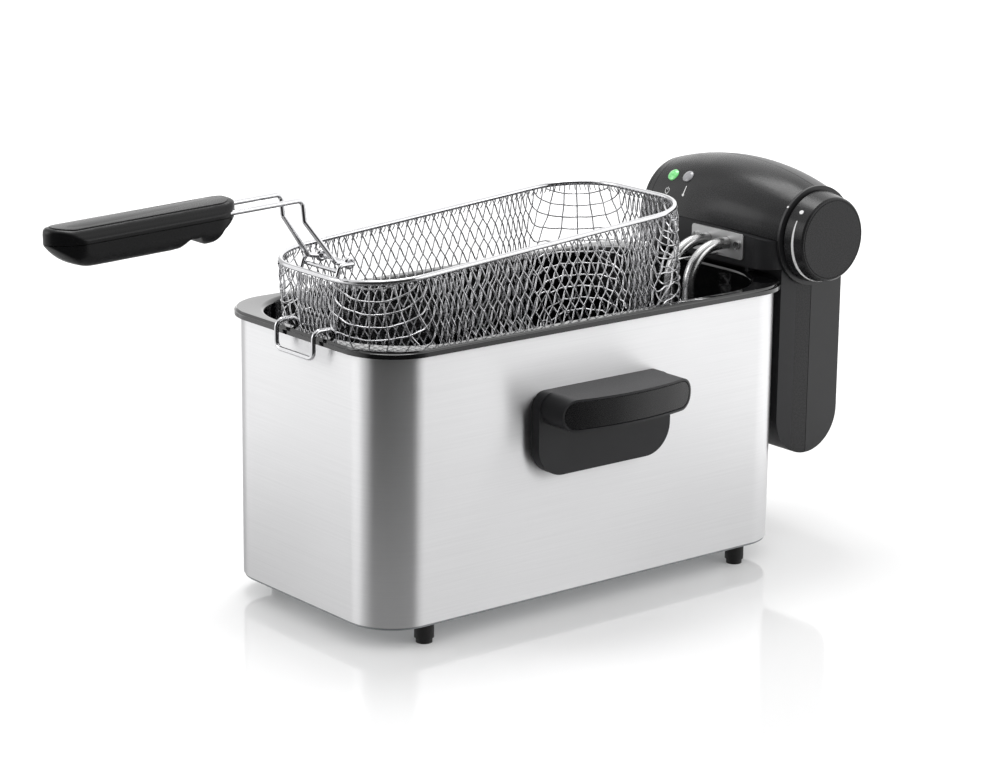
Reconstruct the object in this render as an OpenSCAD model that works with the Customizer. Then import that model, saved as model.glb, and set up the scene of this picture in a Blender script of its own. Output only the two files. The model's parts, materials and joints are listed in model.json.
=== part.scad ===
// Countertop deep fryer: a steel shell with a lift-out enamelled pot, a control head that hangs
// on the back with its immersion element, and a wire basket with a fold-in handle.
// Millimetres, +Z up. The origin is on the counter under the middle of the shell.
// The basket handle points to -Y, the control head is at +Y and its knob faces +X.

/* [Shell] */
// Width of the steel shell
shell_w = 180; // [174:1:210]
// Length of the steel shell
shell_l = 358; // [350:1:400]
// Height of the shell wall
shell_h = 184.5; // [176:0.5:210]
// Outer radius of the shell's upright corners
shell_r = 34; // [26:1:38]
// Thickness of the shell's sheet steel
shell_t = 0.8; // [0.6:0.1:1.6]
// Thickness of the base plate
base_t = 1.5; // [1:0.1:3]

/* [Feet] */
// Height of the feet
foot_h = 13.5; // [10:0.5:20]
// Diameter of the feet
foot_d = 13.2; // [12:0.2:16]
// Diameter of the foot's tip
foot_tip_d = 11; // [9:0.2:11.8]
// Height of the foot's tip
foot_tip_h = 3.5; // [2:0.5:6]
// Distance from the shell's side to the middle of a foot
foot_inset_x = 9; // [8.8:0.1:14]
// Distance from the shell's end to the middle of a foot
foot_inset_y = 41; // [32:1:60]
// Thread diameter of the foot screws
foot_screw_d = 4; // [3:0.5:5]

/* [Pot] */
// Gap between the pot and the inside of the shell
pot_gap = 3.4; // [2.5:0.1:6]
// Thickness of the pot's wall
pot_t = 1; // [0.8:0.1:1.6]
// Inner radius of the pot's upright corners
pot_r = 56; // [48:1:64]
// Inner radius between the pot's wall and its floor
pot_floor_r = 14; // [8:1:20]
// Height of the pot's underside above the base plate
pot_standoff = 15; // [10:1:20]
// How far the flange reaches past the shell
flange_over = 4.5; // [3:0.1:4.8]
// Thickness of the flange
flange_t = 1.2; // [0.8:0.1:2]
// Height of the flange's turned-down edge
flange_drop = 4.6; // [4:0.1:8]

/* [Side handles] */
// Width of a side handle
side_w = 115; // [100:1:140]
// Height of the back plate's lower edge above the shell's lower edge
side_low = 86; // [70:1:90]
// Height of the back plate
side_h = 57.5; // [54:0.5:70]
// Thickness of the back plate
side_t = 8.5; // [8:0.5:14]
// How far the bar stands out from the shell
side_out = 38; // [28:0.5:40]
// Height of the bar
bar_h = 22; // [22:0.5:28]
// Radius of the bar's round ends
bar_r = 10.5; // [8:0.5:11]
// How much shorter the bar is than the back plate, at each end
bar_inset = 1.5; // [0.5:0.1:4]
// How far the bar's front bows out between its ends
bar_bow = 8; // [2:0.5:10]
// Radius of the back plate's upper corners
side_r_top = 11; // [8:1:20]
// Radius of the back plate's lower corners
side_r_low = 21; // [12:1:26]
// Thickness of the inlay in the bar's front
inlay_t = 1.2; // [0.8:0.1:2]
// Margin around the inlay
inlay_margin = 1.6; // [1.2:0.1:4]

/* [Control head] */
// Width of the control head
head_w = 142; // [136:1:150]
// Radius of the head's barrel at its middle
barrel_r = 46; // [42:0.5:48]
// Radius of the head's barrel at its ends
barrel_end_r = 35; // [33:0.5:38]
// Height of the barrel's axis above the pot's flange
head_rise = 25.3; // [24:0.1:32]
// Gap between the shell's end and the head's leg
leg_gap = 5.9; // [5.1:0.1:8]
// Depth of the leg behind the shell
leg_d = 59.4; // [56:0.2:66]
// Height of the leg's round lower end above the counter
leg_low = 65.4; // [50:0.1:80]
// Wall thickness of the head's shells
head_t = 2.2; // [1.8:0.1:3]
// Distance from the barrel's axis to the flat front face
face_out = 44.8; // [42:0.2:45.4]
// Gap between the front housing and the pot's flange
face_lift = 4.5; // [3.5:0.1:6]
// Radius of the front housing's upright corners
face_r = 14; // [8:1:20]
// Height of the fascia's lower edge above the barrel's axis, at the middle
seam_rise = 4.2; // [2:0.1:6]
// How far that edge drops at the ends of the head
seam_sag = 4.4; // [2:0.1:6]
// Width of the round cap at the end away from the knob
cap_w = 10; // [6:0.5:14]
// Width of the band between the cap's edge and the groove round it
cap_band = 6.3; // [3:0.1:7]
// Width of the joints between the head's shells
joint_gap = 0.4; // [0.3:0.05:0.8]
// Thickness of the collar behind the knob
collar_t = 2.5; // [2:0.1:4]
// Radius of the collar behind the knob
collar_r = 35.7; // [34:0.1:36.5]
// Diameter of the lamp lenses
lens_d = 9; // [7:0.5:10]
// Distance between the two lamps
lens_pitch = 17.7; // [14:0.1:24]
// Place of the middle between the lamps, along the head
lens_x = -33.3; // [-38:0.1:-24]
// Angle of the lamps above the front, around the barrel
lens_angle = 43; // [30:1:60]

/* [Knob] */
// Radius of the knob's skirt
knob_r = 32.6; // [30:0.1:34]
// Radius of the knob's face
knob_face_r = 28.8; // [24:0.1:29]
// Height of the knob
knob_h = 16; // [12:0.5:22]
// Diameter of the thermostat's shaft
shaft_d = 6; // [5:0.5:8]
// Turn of the knob from off to its hottest mark, in degrees
knob_turn = 270; // [180:5:300]

/* [Element] */
// Diameter of the heating tube
tube_d = 8.4; // [6.5:0.1:9]
// Distance between the two risers
riser_pitch = 19.8; // [18:0.1:24]
// Place of the middle between the risers, across the head
riser_x = 21.3; // [10:0.1:24]
// Distance from the head's front face to the risers
riser_out = 37; // [34:0.2:42]
// Height of the tubes above the barrel's axis where they leave the head
tube_drop = 6.6; // [5:0.2:8]
// Radius of the risers' upper bends
riser_bend = 27; // [20:1:30]
// Height of the heating loops above the pot's floor
loop_lift = 20; // [14:1:26]
// Half the pitch between neighbouring loops
loop_r = 20; // [18:0.5:21]
// Width of the element's mounting plate
plate_w = 53; // [50:1:60]
// Height of the element's mounting plate
plate_h = 18.4; // [16:0.2:19]
// Thickness of the element's mounting plate
plate_t = 1.2; // [0.8:0.1:2]
// Distance between the mounting plate's screws
plate_screw_pitch = 42.6; // [40:0.1:46]
// Diameter of the thermostat's bulb
bulb_d = 6; // [5:0.5:7]
// Length of the thermostat's bulb
bulb_l = 96; // [60:1:100]
// Diameter of the capillary
capillary_d = 1.6; // [1.2:0.1:2]

/* [Basket] */
// Width of the basket between the middles of its rim
basket_w = 130; // [120:1:140]
// Length of the basket between the middles of its rim
basket_l = 284.3; // [260:0.1:290]
// Corner radius of the rim's middle line
basket_r = 43.5; // [36:0.5:48]
// Depth of the basket below the middle of its rim
basket_depth = 105; // [90:1:110]
// Radius between the basket's wall and its floor
basket_floor_r = 16; // [10:1:22]
// Thickness of the mesh
mesh_t = 1.8; // [1.4:0.1:2.4]
// Width of the mesh's bars
mesh_bar = 1.8; // [1.4:0.1:2.4]
// Distance between parallel bars of the mesh, along a wall
mesh_pitch = 15.4; // [14:0.1:24]
// Height of a diamond in the mesh
mesh_rise = 28.8; // [22:0.2:36]
// Height of the rim band
rim_h = 5.2; // [4:0.1:7]
// Thickness of the rim band
rim_t = 3.4; // [2.6:0.1:4]
// Tilt of the hung basket, in degrees
basket_tilt = 4.5; // [2:0.1:6]
// Height of the rim above the pot's flange at the front, with the basket hung to drain
rim_rise = 35.5; // [34:0.5:44]
// Gap between the rim's middle line and the pot's front wall
basket_front_gap = 3.8; // [3:0.1:5]
// Diameter of the hook's wire
hook_d = 2.8; // [2.4:0.1:3.2]
// Distance between the hook's two wires
hook_pitch = 38; // [36:1:50]
// How far the hook hangs down outside the flange
hook_drop = 16; // [13:0.5:24]
// Radius of the hook's upper bend
hook_bend = 8; // [7.6:0.1:10]

/* [Basket handle] */
// Diameter of the handle's wires
rod_d = 3.2; // [2.8:0.1:3.6]
// Distance between the handle's two wires
rod_pitch = 24; // [22:0.5:26]
// Diameter of the pivot rod
pivot_d = 3; // [2.5:0.1:3.5]
// Running clearance of the handle's eyes on the pivot rod
pivot_play = 0.04; // [0.02:0.01:0.08]
// Distance from the rim's middle line inwards to the pivot
pivot_in = 20; // [18:0.5:24]
// Height of the pivot above the rim's middle line
pivot_up = 7; // [6:0.5:10]
// Height of the grip's wires above the pivot
handle_up = 44.6; // [40:0.1:50]
// Distance from the pivot to the handle's upper bend
handle_reach = 38.7; // [34:0.1:40]
// Droop of the grip, in degrees
grip_droop = 2.2; // [0:0.1:4]
// Distance from the upper bend to the grip
grip_start = 42; // [36:1:50]
// Length of the grip
grip_l = 131; // [120:1:150]
// Width of the grip
grip_w = 32; // [29:0.5:36]
// Height of the grip above its wires
grip_top = 7; // [6:0.1:9]
// Depth of the grip below its wires
grip_low = 13.7; // [12:0.1:15]
// Depth of the finger notch under the grip
grip_notch = 3.7; // [2:0.1:5]

/* [Hidden] */
$fn = 64;

fit = 0.1;          // gap between a piece and its seat in the same body
loose = 0.3;        // gap between pieces that lift apart
hole_play = 0.2;    // extra radius of a screw's clearance hole
bend_step = 0.02;   // how much thinner a wire is between its bends
bend_lap = 0.2;     // how far a wire's straights reach into its bends
far = 400;          // reach of cutting solids
fine = 360;         // facets of the large arcs

// Shell and pot
shell_hx = shell_w / 2;
shell_hy = shell_l / 2;
shell_low = foot_h;
shell_top = shell_low + shell_h;
inner_hx = shell_hx - shell_t;
inner_hy = shell_hy - shell_t;
pot_hx = inner_hx - pot_gap - pot_t;
pot_hy = inner_hy - pot_gap - pot_t;
pot_low = shell_low + base_t + pot_standoff;
pot_floor = pot_low + pot_t;
flange_under = shell_top + loose;
flange_top = flange_under + flange_t;
flange_hx = shell_hx + flange_over;
flange_hy = shell_hy + flange_over;
foot_x = shell_hx - foot_inset_x;
foot_y = shell_hy - foot_inset_y;

// Side handles
side_hw = side_w / 2;
side_z = shell_low + side_low;
side_top = side_z + side_h;
bar_low = side_top - bar_h;
bar_front = shell_hx + side_out;
bar_hw = side_hw - bar_inset;
bar_arc = (pow(bar_hw, 2) + pow(bar_bow, 2)) / (2 * bar_bow);
side_screw_d = 4;
side_screw_x = 34;
side_screw_z = side_z + 20;

// Control head
head_hx = head_w / 2;
leg_front = shell_hy + leg_gap;
leg_back = leg_front + leg_d;
head_y = leg_front + leg_d / 2;
head_z = flange_top + head_rise;
face_y = head_y - face_out;
face_low = flange_top + face_lift;
barrel_fall = barrel_r - barrel_end_r;
barrel_arc = (pow(head_hx, 2) + pow(barrel_fall, 2)) / (2 * barrel_fall);
seam_arc = (pow(head_hx, 2) + pow(seam_sag, 2)) / (2 * seam_sag);
cap_x = -head_hx + cap_w;
function barrel_at(x) = barrel_r - barrel_arc + sqrt(pow(barrel_arc, 2) - pow(x, 2));
cap_r = barrel_at(cap_x);

// Rear bracket and the slot that slides over its rail
bracket_hw = 45;
bracket_low = leg_low + 18.6;
bracket_top = shell_top - flange_drop - 4;
bracket_t = leg_gap - loose;
rail_hw = 5;
rail_out = 7;
rail_low = bracket_low + 20;
rail_top = rail_low + 48;
slot_play = 1;
bracket_screw_x = 30;
bracket_screw_z = [bracket_low + 16, bracket_top - 14];

// Element
tube_r = tube_d / 2;
tube_z = head_z - tube_drop;
riser_y = face_y - riser_out;
riser_xs = [riser_x - riser_pitch / 2, riser_x + riser_pitch / 2];
loop_z = pot_floor + loop_lift;
loop_bend = 12;
loop_front = -pot_hy + 52;
loop_back = riser_y - 46;
loop_mid = loop_back - 42;
tube_end = face_y + 16;
plate_z = tube_z - 0.9;
bulb_r = bulb_d / 2;
bulb_z = loop_z + tube_r + bulb_r + fit;
bulb_back = loop_mid - 6;
cap_tube_y = riser_y - 6;
cap_tube_z = tube_z - 9;

// Thermostat and knob
thermo_w = 24;
thermo_h = 30;
bush_d = shaft_d + 4;
thermo_x = head_hx - head_t - fit - thermo_w / 2;
knob_gap = 0.8;
knob_margin = 1.3;
knob_base_x = head_hx + collar_t + knob_gap;
knob_top_x = knob_base_x + knob_h;
shaft_back = head_hx - head_t - 10;

// Small parts of the head
cover_screw_d = 3.5;
cover_screw_x = 50;
cover_screw_z = [leg_low + 46.6, head_z - 16.8];
switch = [20, 6.4, 10];
switch_y = leg_front + head_t + fit + switch.y / 2;
plunger_d = 2.6;
block = [44, 16, 18];
block_top = leg_low + 76.6;
gland_z = leg_low + 30.6;
gland_d = 14;
gland_bore = 7.4;
gland_in = head_t + 2;

// Basket and its handle
basket_hx = basket_w / 2;
basket_hy = basket_l / 2;
basket_y = -pot_hy + basket_front_gap;
basket_z = flange_top + rim_rise;
hook_r = hook_d / 2;
hook_lead = 39;     // angle of the flange's edge from the upper bend's middle
hook_inner = hook_bend - hook_r - loose - 0.1;
hook_y = -flange_hy - hook_bend + hook_inner * cos(hook_lead);
hook_z = flange_top + hook_bend - hook_inner * sin(hook_lead);
hook_low = hook_z - hook_drop;
hook_leg = 14;
bracket_y = basket_y + rim_t / 2 + hook_r + fit;
pivot_y = basket_y + pivot_in;
pivot_z = basket_z + pivot_up;
rod_r = rod_d / 2;
rod_x = rod_pitch / 2;
eye_r = pivot_d / 2 + 3;
leg_x = rod_x + rod_r + hook_r + 1.4;
bend_y = pivot_y - handle_reach;
bend_z = pivot_z + handle_up;
grip_end = grip_start + grip_l;
grip_hw = grip_w / 2;
grip_seam = -2;
rod_in_grip = 26;
grip_screw_at = [grip_start + 34, grip_start + 112];
panel_t = 1.2;
panel_margin = 4;

// A rounded rectangle with half sides hx and hy
module rounded(hx, hy, r) {
    square([2 * hx, 2 * (hy - r)], center = true);
    square([2 * (hx - r), 2 * hy], center = true);
    for (sx = [-1, 1], sy = [-1, 1]) translate([sx * (hx - r), sy * (hy - r)]) circle(r);
}

// The children's profile swept round a rounded rectangle: x runs outwards, y runs up
module ring_sweep(hx, hy, r) {
    for (k = [0:3]) {
        long = k % 2 == 0 ? hx : hy;
        wide = k % 2 == 0 ? hy : hx;
        rotate([0, 0, 90 * k]) {
            translate([long, 0, 0]) rotate([90, 0, 0])
                linear_extrude(2 * (wide - r), center = true) children();
            translate([long - r, wide - r, 0])
                rotate_extrude(angle = 90) translate([r, 0]) children();
        }
    }
}

// A wall with a round turn into the floor, as a profile for ring_sweep
module tray_profile(inside, wall, turn, low, top) {
    translate([inside, low + wall + turn]) square([wall, top - low - wall - turn]);
    translate([inside - turn, low + wall + turn]) intersection() {
        difference() {
            circle(turn + wall);
            circle(turn);
        }
        translate([0, -turn - wall]) square(turn + wall);
    }
}

function unit(v) = v / norm(v);
function side_of(d) = abs(d.z) < 0.9 ? unit(cross(d, [0, 0, 1])) : unit(cross(d, [1, 0, 0]));

// Places the children with their own axes along ex, ey and ez
module placed(at, ex, ey, ez) {
    multmatrix([
        [ex.x, ey.x, ez.x, at.x],
        [ex.y, ey.y, ez.y, at.y],
        [ex.z, ey.z, ez.z, at.z],
        [0, 0, 0, 1]
    ]) children();
}

// A round rod between two points
module rod(a, b, r) {
    ez = unit(b - a);
    ex = side_of(ez);
    placed(a, ex, cross(ez, ex), ez) cylinder(h = norm(b - a), r = r);
}

function turn_at(p, i) =
    let (d = unit(p[i] - p[i - 1]), e = unit(p[i + 1] - p[i])) acos(min(1, max(-1, d * e)));
function bend_of(bend, i) = is_list(bend) ? bend[i - 1] : bend;
// How much of a straight the bend at point i takes
function trim_at(p, i, bend) = bend_of(bend, i) * tan(turn_at(p, i) / 2);

// A round wire along the points p, bent at each inner point: bend is one radius or a list
module wire(p, bend, r) {
    for (i = [0:len(p) - 2]) {
        d = unit(p[i + 1] - p[i]);
        lead = i == 0 ? 0 : trim_at(p, i, bend) - bend_lap;
        tail = i == len(p) - 2 ? 0 : trim_at(p, i + 1, bend) - bend_lap;
        rod(p[i] + d * lead, p[i + 1] - d * tail, r - bend_step);
    }
    for (i = [1:len(p) - 2]) {
        d = unit(p[i] - p[i - 1]);
        e = unit(p[i + 1] - p[i]);
        n = unit(e - d * (d * e));
        centre = p[i] - d * trim_at(p, i, bend) + n * bend_of(bend, i);
        placed(centre, -n, d, cross(-n, d)) rotate_extrude(angle = turn_at(p, i))
            translate([bend_of(bend, i), 0]) circle(r);
    }
}

// A pan-head screw: the head's face is at the origin and the thread runs to -Z
module screw(d, l, head_d, head_h) {
    translate([0, 0, -l]) cylinder(h = l, d = d);
    difference() {
        cylinder(h = head_h, d = head_d);
        for (a = [0, 90]) rotate([0, 0, a])
            translate([-0.3 * head_d, -0.08 * head_d, head_h * 0.45])
                cube([0.6 * head_d, 0.16 * head_d, head_h]);
    }
}

// Turns the children's +Z to +X, -X, +Y or -Y
module to_right() { rotate([0, 90, 0]) children(); }
module to_left() { rotate([0, -90, 0]) children(); }
module to_back() { rotate([-90, 0, 0]) children(); }
module to_front() { rotate([90, 0, 0]) children(); }

// ---------------------------------------------------------------- shell
module at_side_screws() {
    for (y = [-side_screw_x, side_screw_x]) translate([0, y, side_screw_z]) children();
}

module at_bracket_screws() {
    for (x = [-bracket_screw_x, bracket_screw_x], z = bracket_screw_z)
        translate([x, 0, z]) children();
}

module at_feet() {
    for (sx = [-1, 1], sy = [-1, 1]) translate([sx * foot_x, sy * foot_y, 0]) children();
}

module outer_shell() {
    color("silver") difference() {
        translate([0, 0, shell_low]) linear_extrude(shell_h) difference() {
            rounded(shell_hx, shell_hy, shell_r);
            rounded(inner_hx, inner_hy, shell_r - shell_t);
        }
        at_side_screws() translate([-far / 2, 0, 0])
            to_right() cylinder(h = far, d = side_screw_d + 2 * hole_play);
        at_bracket_screws() translate([0, inner_hy - 1, 0])
            to_back() cylinder(h = shell_t + 2, d = side_screw_d + 2 * hole_play);
    }
}

module base_plate() {
    color("dimgray") difference() {
        translate([0, 0, shell_low]) linear_extrude(base_t)
            rounded(inner_hx - fit, inner_hy - fit, shell_r - shell_t - fit);
        at_feet() translate([0, 0, shell_low - 1])
            cylinder(h = base_t + 2, d = foot_screw_d + 2 * hole_play);
    }
}

module feet() {
    color("black") at_feet() difference() {
        union() {
            translate([0, 0, foot_tip_h]) cylinder(h = foot_h - foot_tip_h, d = foot_d);
            cylinder(h = foot_tip_h, d = foot_tip_d);
        }
        translate([0, 0, foot_h / 2]) cylinder(h = foot_h, d = foot_screw_d + fit);
    }
}

module foot_screws() {
    color("silver") at_feet() translate([0, 0, shell_low + base_t])
        screw(foot_screw_d, base_t + foot_h / 2 - 0.5, 2 * foot_screw_d, 2.4);
}

// ---------------------------------------------------------------- side handles
module side_plate_outline() {
    mid_low = side_z + side_r_low;
    mid_top = side_top - side_r_top;
    translate([-side_hw, mid_low]) square([side_w, mid_top - mid_low]);
    translate([-side_hw + side_r_top, mid_low])
        square([side_w - 2 * side_r_top, side_top - mid_low]);
    translate([-side_hw + side_r_low, side_z])
        square([side_w - 2 * side_r_low, mid_top - side_z]);
    for (s = [-1, 1]) {
        translate([s * (side_hw - side_r_top), mid_top]) circle(side_r_top);
        translate([s * (side_hw - side_r_low), mid_low]) circle(side_r_low);
    }
}

// The bar's bowed front, drawn d inside its surface
module bow(d) {
    translate([bar_front - bar_arc, 0, 0]) cylinder(h = far, r = bar_arc - d, $fn = fine);
}

// A round-ended bar along Y, from the plate outwards, m inside its outline
module bar_block(m) {
    translate([shell_hx + side_t - 1, 0, (bar_low + side_top) / 2])
        rotate([90, 0, 90]) linear_extrude(side_out)
            rounded(bar_hw - m, bar_h / 2 - m, bar_r - m);
}

module side_handle() {
    difference() {
        union() {
            translate([shell_hx, 0, 0]) rotate([90, 0, 90])
                linear_extrude(side_t) side_plate_outline();
            intersection() {
                bar_block(0);
                bow(0);
            }
        }
        intersection() {
            bar_block(inlay_margin);
            difference() {
                cylinder(h = far, r = far);
                bow(inlay_t + fit);
            }
        }
        at_side_screws() translate([shell_hx - 1, 0, 0])
            to_right() cylinder(h = side_t - 1, d = side_screw_d + fit);
    }
}

module handle_inlay() {
    intersection() {
        bar_block(inlay_margin + joint_gap);
        difference() {
            bow(fit);
            bow(inlay_t);
        }
    }
}

module side_handle_right() { color([0.13, 0.13, 0.13]) side_handle(); }
module side_handle_left() { color([0.13, 0.13, 0.13]) mirror([1, 0, 0]) side_handle(); }
module handle_inlay_right() { color([0.2, 0.2, 0.2]) handle_inlay(); }
module handle_inlay_left() { color([0.2, 0.2, 0.2]) mirror([1, 0, 0]) handle_inlay(); }

module handle_screws() {
    color("silver") for (m = [0, 1]) mirror([m, 0, 0]) at_side_screws()
        translate([inner_hx, 0, 0]) to_left() screw(side_screw_d, side_t - 2, 7, 2);
}

// ---------------------------------------------------------------- rear bracket
module head_bracket() {
    color([0.12, 0.12, 0.12]) difference() {
        union() {
            translate([-bracket_hw, shell_hy, bracket_low])
                cube([2 * bracket_hw, bracket_t, bracket_top - bracket_low]);
            translate([-rail_hw, shell_hy, rail_low])
                cube([2 * rail_hw, bracket_t + rail_out, rail_top - rail_low]);
        }
        at_bracket_screws() translate([0, shell_hy - 1, 0])
            to_back() cylinder(h = bracket_t, d = side_screw_d + fit);
    }
}

module bracket_screws() {
    color("silver") at_bracket_screws() translate([0, inner_hy, 0])
        to_front() screw(side_screw_d, shell_t + bracket_t - 1.4, 7, 2);
}

// ---------------------------------------------------------------- pot
module oil_pot() {
    color([0.07, 0.07, 0.07]) {
        ring_sweep(pot_hx, pot_hy, pot_r)
            tray_profile(0, pot_t, pot_floor_r, pot_low, flange_under);
        translate([0, 0, pot_low]) linear_extrude(pot_t)
            rounded(pot_hx - pot_floor_r, pot_hy - pot_floor_r, pot_r - pot_floor_r);
        translate([0, 0, flange_under]) linear_extrude(flange_t) difference() {
            rounded(flange_hx, flange_hy, shell_r + flange_over);
            rounded(pot_hx, pot_hy, pot_r);
        }
        translate([0, 0, flange_top - flange_drop]) linear_extrude(flange_drop) difference() {
            rounded(flange_hx, flange_hy, shell_r + flange_over);
            rounded(flange_hx - flange_t, flange_hy - flange_t, shell_r + flange_over - flange_t);
        }
    }
}

// ---------------------------------------------------------------- control head
// The barrel's solid of revolution, drawn g inside its surface, between two places along X
module barrel(g, x0, x1) {
    translate([0, head_y, head_z]) rotate([0, 90, 0]) rotate_extrude() intersection() {
        translate([barrel_r - barrel_arc, 0]) circle(barrel_arc - g, $fn = fine);
        translate([0, x0]) square([barrel_r, x1 - x0]);
    }
}

// Everything below the fascia's lower edge, moved down by g
module below_seam(g) {
    translate([0, far / 2, head_z + seam_rise - seam_arc - g])
        to_front() cylinder(h = far, r = seam_arc, $fn = fine);
}

module leg_form(g) {
    r = leg_d / 2 - g;
    translate([-head_hx + g, 0, 0]) rotate([90, 0, 90]) linear_extrude(head_w - 2 * g) {
        translate([head_y, leg_low + leg_d / 2]) circle(r);
        translate([head_y - r, leg_low + leg_d / 2])
            square([2 * r, head_z - leg_low - leg_d / 2]);
    }
}

module face_form(g) {
    intersection() {
        translate([0, head_y, face_low + g]) linear_extrude(far)
            rounded(head_hx - g, face_out - g, face_r - g);
        translate([-far / 2, face_y - 1, 0]) cube([far, face_out + 1, head_z + 10]);
        below_seam(g);
    }
}

module barrel_form(g) {
    difference() {
        barrel(g, -head_hx + g, head_hx - g);
        intersection() {
            translate([-far / 2, head_y - far, 0]) cube([far, far, far]);
            below_seam(g);
        }
    }
}

module head_form(g) {
    barrel_form(g);
    face_form(g);
    leg_form(g);
}

// The groove in the leg that slides down over the bracket's rail, m larger all round
module rail_slot(m) {
    translate([-rail_hw - slot_play - m, leg_front - 1, leg_low - 1])
        cube([
            2 * (rail_hw + slot_play + m),
            rail_out + 1 + slot_play + m,
            rail_top + loose + m - leg_low + 1
        ]);
}

// The thin walls of the head, with the rail slot and the end cap's seat
module head_walls() {
    difference() {
        head_form(0);
        difference() {
            head_form(head_t);
            rail_slot(head_t);
        }
        rail_slot(0);
        translate([-head_hx - 1, head_y, head_z])
            to_right() cylinder(h = cap_w + 1, r = cap_r + joint_gap);
        translate([head_hx - head_t - 1, head_y, head_z])
            to_right() cylinder(h = head_t + 2, d = bush_d + 2 * fit);
    }
}

module at_lens(x) {
    translate([x, head_y, head_z]) rotate([90 - lens_angle, 0, 0])
        translate([0, 0, barrel_at(x)]) children();
}

module at_lenses() {
    for (s = [-1, 1]) at_lens(lens_x + s * lens_pitch / 2) children();
}

module at_cover_screws() {
    for (x = [-cover_screw_x, cover_screw_x], z = cover_screw_z)
        translate([x, leg_back, z]) children();
}

module head_fascia() {
    color([0.16, 0.16, 0.16]) difference() {
        intersection() {
            head_walls();
            translate([-far / 2, head_y - far - joint_gap / 2, 0]) cube([far, far, far]);
        }
        below_seam(-joint_gap / 2);
        at_lenses() translate([0, 0, -8]) cylinder(h = 16, d = lens_d + 2 * fit);
    }
}

module front_housing() {
    rib_w = 3;
    color([0.12, 0.12, 0.12]) difference() {
        union() {
            intersection() {
                head_walls();
                translate([-far / 2, head_y - far - joint_gap / 2, 0]) cube([far, far, far]);
                below_seam(joint_gap / 2);
            }
            for (s = [-1, 1]) translate([s * 48 - rib_w / 2, face_y + 3, flange_top + loose])
                cube([rib_w, leg_front - face_y - 5, face_low - flange_top - loose + 0.5]);
        }
        for (x = riser_xs) translate([x, face_y - 1, tube_z])
            to_back() cylinder(h = head_t + 2, d = tube_d + 2 * fit);
        translate([riser_x, face_y - 1, cap_tube_z])
            to_back() cylinder(h = head_t + 2, d = capillary_d + 2 * fit);
        at_element_screws() translate([0, face_y - 1, 0])
            to_back() cylinder(h = head_t + 2, d = 3.2);
        translate([0, switch_y, rail_top]) cylinder(h = 12, d = plunger_d + 0.8, center = true);
    }
}

module rear_cover() {
    color([0.18, 0.18, 0.18]) difference() {
        intersection() {
            head_walls();
            translate([-far / 2, head_y + joint_gap / 2, 0]) cube([far, far, far]);
        }
        at_cover_screws() translate([0, -head_t - 1, 0])
            to_back() cylinder(h = head_t + 2, d = cover_screw_d + 2 * hole_play);
        translate([0, leg_back - gland_in - 1, gland_z])
            to_back() cylinder(h = gland_in + 2, d = gland_d + 2 * fit);
    }
}

module end_cap() {
    groove_x = cap_x - joint_gap - cap_band;
    color([0.2, 0.2, 0.2]) difference() {
        barrel(0, -head_hx, cap_x - joint_gap);
        barrel(head_t, -head_hx + head_t, cap_x + 1);
        translate([groove_x, head_y, head_z]) to_left() difference() {
            cylinder(h = joint_gap, r = barrel_r);
            translate([0, 0, -1]) cylinder(h = joint_gap + 2, r = barrel_at(groove_x) - joint_gap);
        }
    }
}

module knob_collar() {
    color([0.2, 0.2, 0.2]) difference() {
        translate([head_hx, head_y, head_z]) to_right() {
            cylinder(h = collar_t, r = collar_r);
        }
        translate([head_hx - 1, head_y, head_z])
            to_right() cylinder(h = collar_t + 2, d = shaft_d + 2 * loose);
    }
}

module cover_screws() {
    color("dimgray") at_cover_screws() to_back() screw(cover_screw_d, 12, 6.6, 1.8);
}

module lamp_lens(x) {
    at_lens(x) {
        translate([0, 0, -head_t - 1]) cylinder(h = head_t + 1.6, d = lens_d);
        intersection() {
            translate([0, 0, 0.6 + 1.6 - lens_d]) sphere(lens_d);
            translate([0, 0, 0.6]) cylinder(h = 4, d = lens_d);
        }
    }
}

module power_lamp_lens() { color("limegreen") lamp_lens(lens_x - lens_pitch / 2); }
module heat_lamp_lens() { color("lightgray") lamp_lens(lens_x + lens_pitch / 2); }

module lamp_holders() {
    color("white") at_lenses() translate([0, 0, -head_t - 1 - 14]) cylinder(h = 14, d = lens_d - 1);
}

// ---------------------------------------------------------------- element
module at_element_screws() {
    for (s = [-1, 1]) translate([riser_x + s * plate_screw_pitch / 2, 0, tube_z]) children();
}

module element_plate() {
    color("gainsboro") difference() {
        translate([riser_x, face_y, plate_z]) to_front() linear_extrude(plate_t)
            rounded(plate_w / 2, plate_h / 2, 2.5);
        for (x = riser_xs) translate([x, face_y + 1, tube_z])
            to_front() cylinder(h = plate_t + 2, d = tube_d + 2 * fit);
        translate([riser_x, face_y + 1, cap_tube_z])
            to_front() cylinder(h = plate_t + 2, d = capillary_d + 2 * fit);
        at_element_screws() translate([0, face_y + 1, 0])
            to_front() cylinder(h = plate_t + 2, d = 3.2);
    }
}

module element_screws() {
    color("silver") at_element_screws() translate([0, face_y - plate_t, 0])
        to_front() screw(3, plate_t + 6, 6, 1.8);
}

// Half of the tube's path, from a riser's inner end to the middle of the loops
function half_path(x, s) = [
    [x, tube_end, tube_z], [x, riser_y, tube_z], [x, riser_y, loop_z], [x, loop_back, loop_z],
    [s * 3 * loop_r, loop_back, loop_z], [s * 3 * loop_r, loop_front + loop_r, loop_z]
];

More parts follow.
